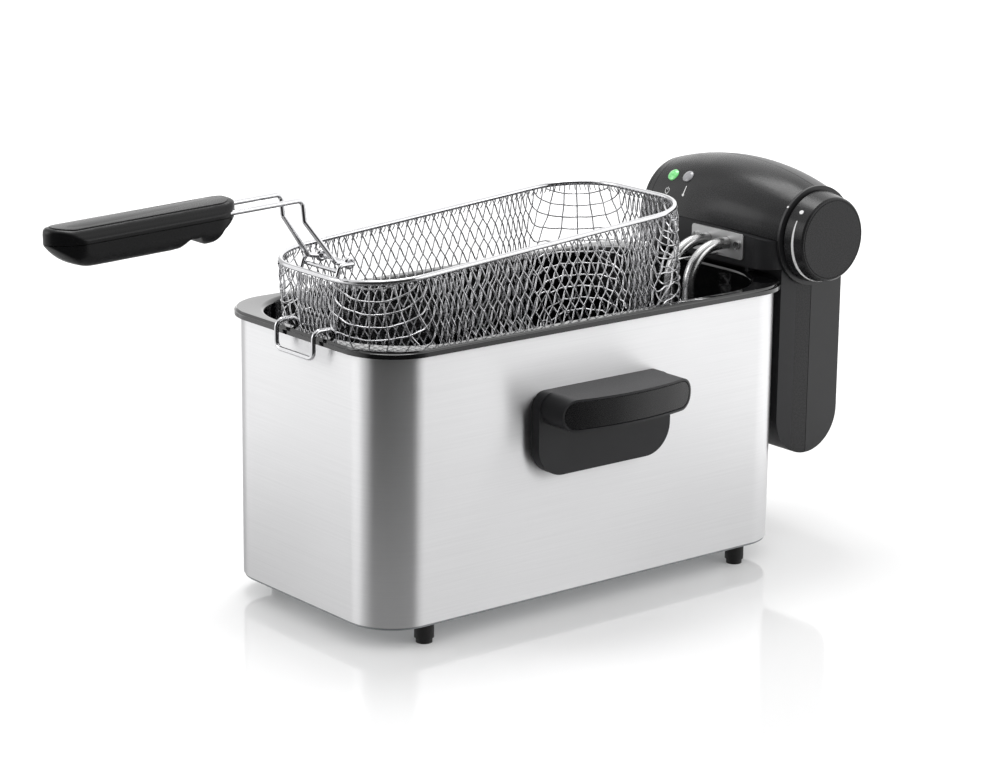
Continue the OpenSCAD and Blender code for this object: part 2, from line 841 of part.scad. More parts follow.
module element_half(x, s) {
    p = half_path(x, s);
    wire([p[0], p[1], [x, riser_y, loop_z + loop_bend + 2]], riser_bend, tube_r);
    wire([[x, riser_y, loop_z + loop_bend + 2], p[2], p[3], p[4], p[5]], loop_bend, tube_r);
    translate([s * 2 * loop_r, loop_front + loop_r, loop_z])
        mirror([s < 0 ? 1 : 0, 0, 0]) rotate([0, 0, 180])
            rotate_extrude(angle = 180) translate([loop_r, 0]) circle(tube_r);
    rod([s * loop_r, loop_front + loop_r, loop_z], [s * loop_r, loop_mid, loop_z], tube_r);
}

module heating_element() {
    color("lightgray") {
        element_half(riser_xs[0], -1);
        element_half(riser_xs[1], 1);
        translate([0, loop_mid, loop_z])
            rotate_extrude(angle = 180) translate([loop_r, 0]) circle(tube_r);
    }
}

module element_ferrules() {
    color("silver") for (x = riser_xs) translate([x, face_y + head_t, tube_z])
        to_back() difference() {
            cylinder(h = 4, d = tube_d + 3.4);
            translate([0, 0, -1]) cylinder(h = 6, d = tube_d + 2 * fit);
        }
}

module element_terminals() {
    color("silver") for (x = riser_xs) translate([x, tube_end, tube_z]) {
        to_back() cylinder(h = 6, d = 3);
        translate([-0.4, 4, -3.2]) cube([0.8, 9, 6.4]);
    }
}

module thermostat_bulb() {
    color("silver") rod([loop_r, bulb_back - bulb_l, bulb_z], [loop_r, bulb_back, bulb_z], bulb_r);
}

module capillary_tube() {
    color("silver") wire([
        [loop_r, bulb_back, bulb_z], [loop_r, bulb_back + 14, bulb_z],
        [riser_x, bulb_back + 30, bulb_z + 6], [riser_x, cap_tube_y, bulb_z + 6],
        [riser_x, cap_tube_y, cap_tube_z], [riser_x, tube_end + 8, cap_tube_z],
        [thermo_x, tube_end + 8, cap_tube_z], [thermo_x, tube_end + 8, cap_tube_z + 12],
        [thermo_x, head_y - thermo_h / 2, cap_tube_z + 12]
    ], 2.5, capillary_d / 2);
}

// Straps that hold the bulb down on the heating tube
module bulb_clips() {
    strap_t = 0.8;
    strap_w = 6;
    half = [tube_r + fit, bulb_r + fit];
    color("silver") for (y = [bulb_back - 16, bulb_back - bulb_l + 16])
        translate([loop_r, y + strap_w / 2, loop_z]) to_front() linear_extrude(strap_w)
            difference() {
                union() {
                    circle(half[0] + strap_t);
                    translate([0, bulb_z - loop_z]) circle(half[1] + strap_t);
                    translate([-half[1] - strap_t, 0])
                        square([2 * (half[1] + strap_t), bulb_z - loop_z]);
                }
                circle(half[0]);
                translate([0, bulb_z - loop_z]) circle(half[1]);
                translate([-half[1], 0]) square([2 * half[1], bulb_z - loop_z]);
            }
}

// ---------------------------------------------------------------- inside the head
module thermostat_body() {
    x1 = head_hx - head_t - fit;
    color("gray") difference() {
        union() {
            translate([x1 - thermo_w, head_y - thermo_h / 2, head_z - thermo_h / 2])
                cube([thermo_w, thermo_h, thermo_h]);
            translate([x1 - 1, head_y, head_z])
                to_right() cylinder(h = head_t + fit + 1, d = bush_d);
        }
        translate([shaft_back - 1, head_y, head_z])
            to_right() cylinder(h = far, d = shaft_d + fit);
    }
}

module thermal_cutout() {
    color("silver") translate([riser_x, face_y + head_t + fit, tube_z + 1]) to_back() {
        cylinder(h = 5, d = riser_pitch - tube_d - 3.8);
        translate([0, 0, 5]) cylinder(h = 5, d = 4);
    }
}

module terminal_block() {
    color("ivory") difference() {
        translate([-block.x / 2, leg_back - head_t - fit - block.y, block_top - block.z])
            cube(block);
        for (k = [-1.5:1.5]) translate([k * 10, leg_back - head_t - block.y, block_top - 20])
            cylinder(h = 21, d = 3.4);
    }
}

module interlock_switch() {
    z = rail_top + loose + head_t + fit;
    color([0.1, 0.1, 0.1]) {
        translate([-switch.x / 2, switch_y - switch.y / 2, z]) cube(switch);
        translate([0, switch_y, rail_top + loose]) cylinder(h = head_t + 1, d = plunger_d);
    }
}

// Three insulated leads inside the head
module wiring_loom() {
    lead_r = 1.2;
    back = leg_back - head_t - 10;
    color("firebrick") {
        wire([
            [-15, back, block_top], [-15, back, head_z - 28.8], [-15, head_y + 4, head_z - 18.8],
            [riser_xs[0], tube_end + 14, tube_z]
        ], 5, lead_r);
        wire([
            [5, back, block_top], [5, back, head_z - 34.8], [riser_xs[1], head_y + 4, head_z - 22.8],
            [riser_xs[1], tube_end + 14, tube_z]
        ], 5, lead_r);
        wire([
            [15, back, block_top], [15, back, head_z - 34.8], [thermo_x, head_y + 8, head_z - 28.8],
            [thermo_x, head_y + 8, head_z - thermo_h / 2]
        ], 5, lead_r);
    }
}

module cord_gland() {
    color([0.1, 0.1, 0.1]) translate([0, leg_back, gland_z]) difference() {
        union() {
            translate([0, -gland_in, 0]) to_back() cylinder(h = gland_in, d = gland_d);
            to_back() cylinder(h = 3, d = gland_d + 5);
        }
        translate([0, -gland_in - 1, 0]) to_back() cylinder(h = gland_in + 6, d = gland_bore);
    }
}

// ---------------------------------------------------------------- knob
module on_knob_axis(x) { translate([x, head_y, head_z]) to_right() children(); }

module knob() {
    edge = 1.2;
    hub_d = 12;
    recess = knob_face_r - knob_margin;
    color([0.14, 0.14, 0.14]) difference() {
        on_knob_axis(knob_base_x) rotate_extrude() polygon([
            [0, 0], [knob_r - edge / 2, 0], [knob_r, edge / 2],
            [knob_face_r + 1, knob_h - edge], [knob_face_r, knob_h], [0, knob_h]
        ]);
        on_knob_axis(knob_base_x - 1) difference() {
            cylinder(h = knob_h - 3, r = knob_face_r - 2);
            cylinder(h = knob_h, d = hub_d);
        }
        on_knob_axis(knob_base_x - 1) cylinder(h = knob_h - 3, d = shaft_d + fit);
        on_knob_axis(knob_top_x - 0.8) cylinder(h = 2, r = recess);
    }
}

module knob_face() {
    color([0.25, 0.25, 0.25]) on_knob_axis(knob_top_x - 0.8)
        cylinder(h = 1, r = knob_face_r - knob_margin - fit);
}

module thermostat_shaft() {
    color("silver") on_knob_axis(shaft_back)
        cylinder(h = knob_base_x + knob_h - 5 - shaft_back, d = shaft_d);
}

// ---------------------------------------------------------------- basket
// Basket frame: origin at the middle of the rim's front, Y along the rim, tilted as it hangs
module in_basket() {
    translate([0, basket_y, basket_z]) rotate([basket_tilt, 0, 0])
        translate([0, basket_hy, 0]) children();
}

module basket_rim() {
    color("silver") in_basket() ring_sweep(basket_hx, basket_hy, basket_r)
        rounded(rim_t / 2, rim_h / 2, rim_t / 2 - 0.1);
}

// Rows of diamonds with staggered rows between them, as many as fit a field w wide and h high
// whose corners have the radius turn
module diamonds(w, h, turn = 0) {
    cols = floor(w / mesh_pitch);
    rows = floor(h / mesh_rise);
    slant = norm([mesh_pitch, mesh_rise]);
    dx = (mesh_pitch - mesh_bar * slant / mesh_rise) / 2;
    dy = (mesh_rise - mesh_bar * slant / mesh_pitch) / 2;
    for (i = [0:2 * cols - 2], j = [0:2 * rows - 2]) {
        x = (i - cols + 1) * mesh_pitch / 2;
        y = (j - rows + 1) * mesh_rise / 2;
        past = norm([max(abs(x) + dx - w / 2 + turn, 0), max(abs(y) - h / 2 + turn, 0)]);
        if (i % 2 == j % 2 && past <= turn)
            translate([x, y]) polygon([[-dx, 0], [0, -dy], [dx, 0], [0, dy]]);
    }
}

// Cutters for the diamonds in the basket's walls, corners and floor
module mesh_openings() {
    wall = basket_depth - rim_h / 2 - mesh_t - basket_floor_r / 2;
    middle = -rim_h / 2 - wall / 2;
    ax = basket_hx - basket_r;
    ay = basket_hy - basket_r;
    reach = basket_r + mesh_t;
    translate([0, 0, middle]) {
        rotate([90, 0, 90]) linear_extrude(2 * (ax + reach), center = true) diamonds(2 * ay, wall);
        rotate([90, 0, 0]) linear_extrude(2 * (ay + reach), center = true) diamonds(2 * ax, wall);
        for (sx = [-1, 1], sy = [-1, 1]) translate([sx * ax, sy * ay, 0])
            rotate([90, 0, 90 + atan2(sy, sx)]) linear_extrude(reach)
                diamonds(2 * basket_r * cos(45), wall);
    }
    hx = basket_hx - mesh_t / 2 - basket_floor_r;
    hy = basket_hy - mesh_t / 2 - basket_floor_r;
    translate([0, 0, -basket_depth - 1]) linear_extrude(mesh_t + 2)
        diamonds(2 * hx, 2 * hy, basket_r - mesh_t / 2 - basket_floor_r);
}

module basket_mesh() {
    color("lightgray") in_basket() difference() {
        union() {
            ring_sweep(basket_hx, basket_hy, basket_r)
                tray_profile(-mesh_t / 2, mesh_t, basket_floor_r, -basket_depth, -rim_h / 2);
            translate([0, 0, -basket_depth]) linear_extrude(mesh_t)
                rounded(
                    basket_hx - mesh_t / 2 - basket_floor_r,
                    basket_hy - mesh_t / 2 - basket_floor_r,
                    basket_r - mesh_t / 2 - basket_floor_r
                );
        }
        mesh_openings();
    }
}

// Where the basket's front wall stands at a height, outside face
function wall_y(z) = basket_y - mesh_t / 2 + (basket_z - z) * tan(basket_tilt);

module basket_hook() {
    x = hook_pitch / 2;
    top_y = wall_y(hook_z) - hook_r - fit;
    low_y = wall_y(hook_z - hook_leg) - hook_r - fit;
    color("silver") {
        wire([
            [-x, low_y, hook_z - hook_leg], [-x, top_y, hook_z], [-x, hook_y, hook_z],
            [-x, hook_y, hook_low], [x, hook_y, hook_low], [x, hook_y, hook_z],
            [x, top_y, hook_z], [x, low_y, hook_z - hook_leg]
        ], [2.5, hook_bend, 4, 4, hook_bend, 2.5], hook_r);
    }
}

// Upright legs inside the front wall, with the pivot rod and the handle's stop rod
module handle_bracket() {
    stop_z = pivot_z - rod_r - hook_r - loose;
    foot = wall_y(basket_z - 45) + mesh_t + hook_r + fit;
    color("silver") {
        for (s = [-1, 1]) wire([
            [s * leg_x, foot, basket_z - 45], [s * leg_x, bracket_y, basket_z - rim_h],
            [s * leg_x, bracket_y, pivot_z], [s * leg_x, pivot_y, pivot_z]
        ], 4, hook_r);
        rod([-leg_x, pivot_y, pivot_z], [leg_x, pivot_y, pivot_z], pivot_d / 2);
        rod([-leg_x, bracket_y, stop_z], [leg_x, bracket_y, stop_z], hook_r);
    }
}

// ---------------------------------------------------------------- basket handle
// Handle frame: origin at the wires' upper bend, -Y along the grip, drooping as the grip does
module in_handle() {
    translate([0, bend_y, bend_z]) rotate([grip_droop, 0, 0]) children();
}

function along_grip(u) = [0, bend_y - u * cos(grip_droop), bend_z - u * sin(grip_droop)];

module handle_rods() {
    color("silver") for (s = [-1, 1]) {
        side = [s * rod_x, 0, 0];
        difference() {
            union() {
                wire([
                    side + [0, pivot_y - eye_r + 0.6, pivot_z], side + [0, bracket_y, pivot_z],
                    side + [0, bend_y + 5.5, bend_z - 14], side + [0, bend_y + 4.5, bend_z],
                    side + along_grip(grip_start + rod_in_grip)
                ], 4, rod_r);
                translate([s * rod_x - rod_r, pivot_y, pivot_z])
                    to_right() cylinder(h = rod_d, r = eye_r);
            }
            translate([s * rod_x - rod_d, pivot_y, pivot_z])
                to_right() cylinder(h = 2 * rod_d, r = pivot_d / 2 + pivot_play);
        }
    }
}

// Points along an arc of an ellipse, and of a circle
function oval(c, rx, ry, a0, a1, n) =
    [for (i = [0:n]) let (a = a0 + (a1 - a0) * i / n) c + [rx * cos(a), ry * sin(a)]];
function arc(c, r, a0, a1, n) = oval(c, r, r, a0, a1, n);

// The grip seen from its side: x runs outwards, y runs up
module grip_side() {
    toe_l = 20;
    toe_h = 11;
    heel = 26;
    notch = grip_start + 35;
    polygon(concat(
        [[grip_start, -1], [grip_start, grip_top - 3]],
        arc([grip_start + 3, grip_top - 3], 3, 180, 90, 4),
        arc([grip_end - 3, grip_top - 3], 3, 90, 0, 4),
        oval([grip_end - toe_l, -grip_low + toe_h], toe_l, toe_h, 0, -90, 10),
        [[notch + 16, -grip_low], [notch + 10, -grip_low + 0.6]],
        arc([notch, -grip_low + grip_notch + 5], 5, -50, -130, 6),
        arc([grip_start + heel, -grip_low + heel / 2 - 0.6], heel / 2, -84, -150, 8)
    ));
}

module grip_plan() {
    tip = 15;
    translate([0, -grip_start - grip_hw]) circle(grip_hw);
    translate([-grip_hw, -grip_end + tip]) square([grip_w, grip_l - grip_hw - tip]);
    translate([-grip_hw + tip, -grip_end]) square([grip_w - 2 * tip, grip_l - grip_hw]);
    for (s = [-1, 1]) translate([s * (grip_hw - tip), -grip_end + tip]) circle(tip);
}

// The whole grip, as the meeting of its side view, its plan and its section
module grip_form() {
    intersection() {
        rotate([90, 0, -90]) linear_extrude(grip_w + 2, center = true) grip_side();
        translate([0, 0, -far / 2]) linear_extrude(far) grip_plan();
        translate([0, 0, (grip_top - grip_low) / 2]) to_front() linear_extrude(far)
            rounded(grip_hw, (grip_top + grip_low) / 2, 7);
    }
}

module panel_outline(m) {
    long = grip_l / 2 - m;
    translate([0, -grip_start - grip_l / 2]) rounded(grip_hw - m - 1, long, grip_hw - m - 2);
}

module at_grip_screws() {
    for (u = grip_screw_at) translate([0, -u, 0]) children();
}

module grip_upper() {
    color([0.1, 0.1, 0.1]) in_handle() difference() {
        grip_form();
        translate([-far / 2, -far, -far + grip_seam + joint_gap / 2]) cube([far, far, far]);
        translate([0, 0, grip_top - panel_t]) linear_extrude(far) panel_outline(panel_margin);
        for (s = [-1, 1]) translate([s * rod_x, 0, 0])
            to_front() cylinder(h = grip_start + rod_in_grip + 1, d = rod_d + fit);
        at_grip_screws() translate([0, 0, grip_seam - 1]) cylinder(h = 5, d = 3);
    }
}

module grip_lower() {
    color([0.13, 0.13, 0.13]) in_handle() difference() {
        intersection() {
            grip_form();
            translate([-far / 2, -far, -far + grip_seam - joint_gap / 2]) cube([far, far, far]);
        }
        at_grip_screws() {
            translate([0, 0, -grip_low - 1]) cylinder(h = 5, d = 6.4);
            translate([0, 0, -grip_low]) cylinder(h = grip_low, d = 3.4);
        }
    }
}

module grip_panel() {
    color([0.16, 0.16, 0.16]) in_handle() translate([0, 0, grip_top - panel_t + fit])
        linear_extrude(panel_t - fit) panel_outline(panel_margin + joint_gap);
}

module grip_screws() {
    color("silver") in_handle() at_grip_screws() translate([0, 0, -grip_low + 4])
        mirror([0, 0, 1]) screw(2.9, grip_low + grip_seam - 1.5, 5.6, 1.8);
}

outer_shell();
base_plate();
feet();
foot_screws();
side_handle_right();
side_handle_left();
handle_inlay_right();
handle_inlay_left();
handle_screws();
head_bracket();
bracket_screws();
oil_pot();
head_fascia();
front_housing();
rear_cover();
end_cap();
knob_collar();
cover_screws();
power_lamp_lens();
heat_lamp_lens();
lamp_holders();
element_plate();
element_screws();
heating_element();
element_ferrules();
element_terminals();
thermostat_bulb();
capillary_tube();
bulb_clips();
thermostat_body();
thermal_cutout();
terminal_block();
interlock_switch();
wiring_loom();
cord_gland();
knob();
knob_face();
thermostat_shaft();
basket_rim();
basket_mesh();
basket_hook();
handle_bracket();
handle_rods();
grip_upper();
grip_lower();
grip_panel();
grip_screws();
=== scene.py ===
"""Looks of a countertop deep fryer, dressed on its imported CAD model. Metres, +Z up."""
import json
import math

import bmesh
import bpy
import numpy as np
from mathutils import Matrix, Vector

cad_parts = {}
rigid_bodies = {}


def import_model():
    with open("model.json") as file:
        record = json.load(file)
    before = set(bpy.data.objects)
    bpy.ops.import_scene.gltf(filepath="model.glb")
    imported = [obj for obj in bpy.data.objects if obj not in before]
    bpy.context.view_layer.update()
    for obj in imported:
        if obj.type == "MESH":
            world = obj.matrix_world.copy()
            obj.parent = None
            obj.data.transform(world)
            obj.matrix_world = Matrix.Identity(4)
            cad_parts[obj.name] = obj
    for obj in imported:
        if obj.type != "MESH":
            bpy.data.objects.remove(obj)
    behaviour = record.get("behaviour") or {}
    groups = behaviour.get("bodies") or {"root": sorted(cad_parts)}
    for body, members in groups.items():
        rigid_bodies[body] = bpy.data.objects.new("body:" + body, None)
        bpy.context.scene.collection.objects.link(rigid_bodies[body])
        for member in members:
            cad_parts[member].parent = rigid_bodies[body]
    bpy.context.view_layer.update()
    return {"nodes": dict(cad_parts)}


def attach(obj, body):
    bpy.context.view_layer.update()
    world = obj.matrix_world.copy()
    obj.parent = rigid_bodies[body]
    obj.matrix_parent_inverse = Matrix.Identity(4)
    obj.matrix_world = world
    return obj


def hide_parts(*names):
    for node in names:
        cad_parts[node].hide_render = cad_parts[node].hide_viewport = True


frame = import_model()
nodes = frame["nodes"]

MM = 0.001
bpy.context.scene.view_settings.view_transform = "Standard"

# ---- light, camera and table
WORLD_LIGHT = 0.8
# The room as metal sees it: (azimuth in degrees, brightness), all the way round from behind the fryer
ROOM_LEVELS = ((-180, 1.4), (-118, 1.35), (-106, 0.7), (-84, 0.7), (-72, 1.3), (-50, 1.13), (-24, 1.02),
               (-6, 0.55), (8, 0.05), (50, 0.025), (98, 0.045), (114, 0.25), (126, 0.8), (131, 1.1),
               (136, 1.38), (150, 1.45))
# Softboxes, in metres: name, place, side, watts
SOFTBOXES = (("top_softbox", (-0.5, 0.3, 1.9), 0.8, 12), ("left_softbox", (-1.2, -1.9, 1.1), 1.2, 8),
             ("right_softbox", (2.1, 1.1, 1.0), 1.2, 8))
SOFTBOX_AIM = (0, 0, 0.15)
CAMERA_PLACE = Vector((1548.31, -1268.1, 660.77)) * MM
CAMERA_AZIMUTH, CAMERA_ELEVATION, CAMERA_ROLL = (math.radians(v) for v in (50.924, 14.857, 0.6605))
CAMERA_LENS = 108.29
TABLE_SIZE, MIRRORED_R = 12, 0.42       # metres
TABLE_LIFT, FAR_LIFT = 0.09, 0.54       # glow added to the table near the fryer and far from it

# ---- sizes, in millimetres: HX and HY are half widths, R a radius, D a diameter and T a thickness
# Steel shell
SHELL_HX, SHELL_HY, SHELL_R = 90, 179, 34
SHELL_LOW, SHELL_TOP, SHELL_T = 13.5, 198, 0.8
HEM_R = 1.6
# Pot
FLANGE_HX, FLANGE_HY, FLANGE_R = 94.5, 183.5, 38.5
FLANGE_TOP, FLANGE_DROP, FLANGE_EDGE_R = 199.5, 4.6, 1.8
POT_HX, POT_HY, POT_R = 84.8, 173.8, 56
POT_FLOOR, POT_FLOOR_R, POT_LIP_R, POT_T = 31, 14, 3.2, 1
# Control head
HEAD_Y, HEAD_Z = 214.6, 224.8
BARREL_R, BARREL_END_R, HEAD_HX = 46, 35, 71
BARREL_ARC = (HEAD_HX ** 2 + (BARREL_R - BARREL_END_R) ** 2) / (2 * (BARREL_R - BARREL_END_R))
COLLAR_R, COLLAR_DOT_X = 35.7, 72.2
KNOB_R, KNOB_TIP_R, KNOB_BASE_X, KNOB_TOP_X = 32.6, 29.8, 74.9, 89.1
# Printed signs: height of the ink, its gap from the surface, and the line round the knob
INK, SIGN_GAP, ARC_LENGTH, ARC_STEPS = 0.12, 0.08, 67, 48
# Where they are: along the head, and degrees up round it
POWER_AT, HEAT_AT = (-41, 26), (-21, 28)
KNOB_SIGNS_X, KNOB_DOT_UP, ARC_UP, COLLAR_DOT_UP = 82, 42, -32, 41
# Basket, in its own frame: origin at the middle of the rim, before it is tilted and set in place
BASKET_HX, BASKET_HY, BASKET_R = 65, 142.15, 43.5
BASKET_DEPTH, BASKET_FLOOR_R = 105, 16.9
BASKET_TILT = math.radians(4.5)
BASKET_FRONT_Y, BASKET_FRONT_Z = -170, 235
WIRE_D, WIRE_LIFT, WIRE_STEP = 1.12, 0.6, 1.25
HOOK_LEFT, HOOK_RIGHT, HOOK_Y, HOOK_Z, HOOK_LOW = -14, 27, -186.7, 203.6, 185.6
HOOK_TAIL, HOOK_D, HOOK_BEND_R = 14, 3.2, 5.0
# From the middle of the front wall to its face, and from there out to the hook and in to the legs
CLOTH_FACE, HOOK_OUT, LEG_IN = 0.75, 2.2, 2.4
PIVOT_Y, PIVOT_Z = -150, 242
ELBOW_X, ELBOW_Y, ELBOW_Z = 15.3, -160.5, 243.4
LEG_X, LEG_FOOT_Z, LEG_BEND_Z, LEG_D, LEG_BEND_R = 19.6, 190, 231, 2.8, 3.5
STOP_ROD_DROP, BEND_STEPS = 4.4, 6
# Handle rods: (y, z) of their ends in the grip and of the bends before it
ROD_X, ROD_D, ROD_BEND_R, EYE_R = 12, 3.4, 4.0, 2.7
GRIP_ROD, UPPER_BEND, LOWER_BEND = (-255, 284.1), (-184.2, 286.6), (-182.6, 272.8)
# Grip, in its own frame along the rods
GRIP_BEND, GRIP_DROOP = (-188.7, 286.6), math.radians(2.2)
GRIP_END, GRIP_HALF, GRIP_SEAM, SEAM_GAP = 173, 14, -2, 0.4
GRIP_LONGER, LONGER_FROM = 3.5, 60      # how much it is drawn out, and from where on
GRIP_DEEPER, GRIP_CROWN, CROWN_FROM = 1.3, 2.4, 5
TOE_RISE, TOE_ROUND, TOE_ARC = 27, 26, 8        # lengths of the toe's rise and rounding, depth of its arc
PANEL_LIFT, GRIP_VOXEL, GRIP_SMOOTHING = 0.5, 0.8, 26
# Wires per millimetre by distance from the middle of a corner: square cells of 8.2 mm at the corner,
# squeezed beside it, diamonds 7.7 wide and 14.5 high on the straight walls
KNOTS = (0, 14, 27, 36, 44, 58, 74)
ACROSS_SAG = (0, 0.036, 0.078, 0.15, 0.22, 0.21, 0.13)
ACROSS_DOWN = (0.122, 0.124, 0.135, 0.17, 0.22, 0.21, 0.13)
DOWN_SAG = (0.118, 0.114, 0.1, 0.077, 0.064, 0.064, 0.069)
DOWN_DOWN = (0, 0.016, 0.042, 0.057, 0.064, 0.064, 0.069)
# Points of the grids that the wires are traced on, and how far down the walls they begin
GRID_AROUND, GRID_DOWN, GRID_FILLET, GRID_FROM = 361, 44, 13, 2.2
GRID_TURN, GRID_ALONG, GRID_ACROSS = 14, 86, 44
RIM_WIDE, RIM_HIGH, RIM_STEPS = 2.6, 3.6, 180
# The cut ends folded round the rim: their line as (inwards, up)
END_D, END_SPACING = 0.9, 3.86
END_LINE = ((3.6, 0.3), (3.5, -2.2), (1.2, -5.2))
CORNER_STEPS = 20                       # of a rounded outline
# Edges of moulded pieces: steps of a rounding, and the angles in degrees that part faces and shading
EDGE_STEPS, EDGE_ANGLE, MERGE_ANGLE, SHADE_ANGLE = 3, 32, 2, 28


# ---- modelling helpers
def only(*objects):
    """Leaves object mode with just these objects selected, the first one active."""
    if bpy.context.object and bpy.context.object.mode != "OBJECT":
        bpy.ops.object.mode_set(mode="OBJECT")
    bpy.ops.object.select_all(action="DESELECT")
    for o in objects:
        o.select_set(True)
    if objects:
        bpy.context.view_layer.objects.active = objects[0]


def edit(o, select="SELECT"):
    only(o)
    bpy.ops.object.mode_set(mode="EDIT")
    bpy.ops.mesh.select_all(action=select)


def pick(o, kind, test):
    """In edit mode, selects just the verts, edges or faces that pass a test."""
    bpy.ops.mesh.select_all(action="DESELECT")
    bpy.context.tool_settings.mesh_select_mode = (kind == "verts", kind == "edges", kind == "faces")
    bm = bmesh.from_edit_mesh(o.data)
    for item in getattr(bm, kind):
        if test(item):
            item.select_set(True)
    bmesh.update_edit_mesh(o.data)


def done(o):
    """Back to object mode, with the object's place and size in its mesh."""
    only(o)
    bpy.ops.object.transform_apply(location=True, rotation=True, scale=True)
    return o


def modifier(o, kind, **settings):
    only(o)
    m = o.modifiers.new(kind.title(), kind)
    for key, value in settings.items():
        setattr(m, key, value)
    bpy.ops.object.modifier_apply(modifier=m.name)


def smooth(o, angle):
    """Smooth shading, but for edges sharper than an angle in degrees."""
    only(o)
    bpy.ops.object.shade_smooth_by_angle(angle=math.radians(angle))


def face_out(o):
    edit(o)
    bpy.ops.mesh.remove_doubles(threshold=1e-6)
    bpy.ops.mesh.normals_make_consistent(inside=False)
    only(o)


def dress(o, name, body, slot, material, *replaced):
    """Names a finished piece, gives it its material and hangs it on its body."""
    o.name = name
    o.data.name = name
    o.data.materials.clear()
    o.data.materials.append(material)
    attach(o, body)
    if replaced:
        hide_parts(*replaced)
    return o


def paint(material, *names):
    """Gives CAD nodes that stay in view their material."""
    for name in names:
        mesh = nodes[name].data
        mesh.materials.clear()
        mesh.materials.append(material)


def flat(hx, hy, up=0, z=0):
    """A flat rectangle of these half sizes, up along Y and at a height, left in edit mode. Millimetres."""
    only()
    bpy.ops.mesh.primitive_plane_add(size=2 * MM, location=(0, up * MM, z * MM))
    o = bpy.context.object
    o.scale = (hx, hy, 1)
    edit(done(o))
    return o


def plate(hx, hy, r, z):
    """A face with the outline of a rounded rectangle, left in edit mode. Millimetres."""
    o = flat(hx, hy, z=z)
    bpy.ops.mesh.bevel(offset=r * MM, segments=CORNER_STEPS, affect="VERTICES")
    return o


def rise(dz):
    """Extrudes the selection upwards, in millimetres."""
    bpy.ops.mesh.extrude_region_move(TRANSFORM_OT_translate={"value": (0, 0, dz * MM)})


def open_at(o, z):
    """Takes away the flat faces that lie at a height, in millimetres."""
    edit(o, "DESELECT")
    pick(o, "faces", lambda f: all(abs(v.co.z - z * MM) < 1e-6 for v in f.verts))
    bpy.ops.mesh.delete(type="FACE")
    only(o)


def step_in(thickness, depth):
    """Insets the selection and lifts it by depth, in millimetres."""
    bpy.ops.mesh.inset(thickness=thickness * MM, depth=depth * MM, use_even_offset=True)


def quarter_steps(r, n):
    """(inwards, down) steps of a quarter circle that starts level and ends upright."""
    a = [math.pi / 2 * i / n for i in range(n + 1)]
    return [(r * (math.sin(a[i + 1]) - math.sin(a[i])), r * (math.cos(a[i]) - math.cos(a[i + 1])))
            for i in range(n)]


def cad_copy(*names):
    """A merged copy of CAD nodes, joined into one object."""
    only(*[nodes[n] for n in names])
    bpy.ops.object.duplicate()
    bpy.ops.object.parent_clear(type="CLEAR_KEEP_TRANSFORM")
    if len(names) > 1:
        bpy.ops.object.join()
    o = bpy.context.object
    for key in [k for k in o.keys() if k.startswith("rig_")]:
        del o[key]
    bpy.ops.mesh.customdata_custom_splitnormals_clear()
    edit(o)
    bpy.ops.mesh.remove_doubles(threshold=2e-6)
    only(o)
    return o


def softened(node, width):
    """A copy of a CAD node whose sharp edges are rounded a little. Width in millimetres."""
    o = cad_copy(node)
    edit(o)
    bpy.ops.mesh.dissolve_limited(angle_limit=math.radians(MERGE_ANGLE))
    only(o)
    modifier(o, "BEVEL", width=width * MM, segments=EDGE_STEPS, limit_method="ANGLE",
             angle_limit=math.radians(EDGE_ANGLE), use_clamp_overlap=True)
    smooth(o, SHADE_ANGLE)
    modifier(o, "WEIGHTED_NORMAL", keep_sharp=True)
    return o


# ---- material helpers
def linear(text):
    """An sRGB hex colour as linear RGBA."""
    parts = [int(text[i:i + 2], 16) / 255 for i in (1, 3, 5)]
    return [c / 12.92 if c <= 0.04045 else ((c + 0.055) / 1.055) ** 2.4 for c in parts] + [1.0]


def add(tree, kind, inputs=None, **settings):
    """Adds a node: settings are its properties, inputs its sockets' values or what they are linked to."""
    node = tree.nodes.new(kind)
    for key, value in settings.items():
        setattr(node, key, value)
    for key, value in (inputs or {}).items():
        if isinstance(value, bpy.types.NodeSocket):
            tree.links.new(value, node.inputs[key])
        else:
            node.inputs[key].default_value = value
    return node


def new_material(name):
    """An empty material: its node tree and its Object coordinates."""
    material = bpy.data.materials.new(name)
    material.use_nodes = True
    tree = material.node_tree
    tree.nodes.clear()
    return material, tree, add(tree, "ShaderNodeTexCoord").outputs["Object"]


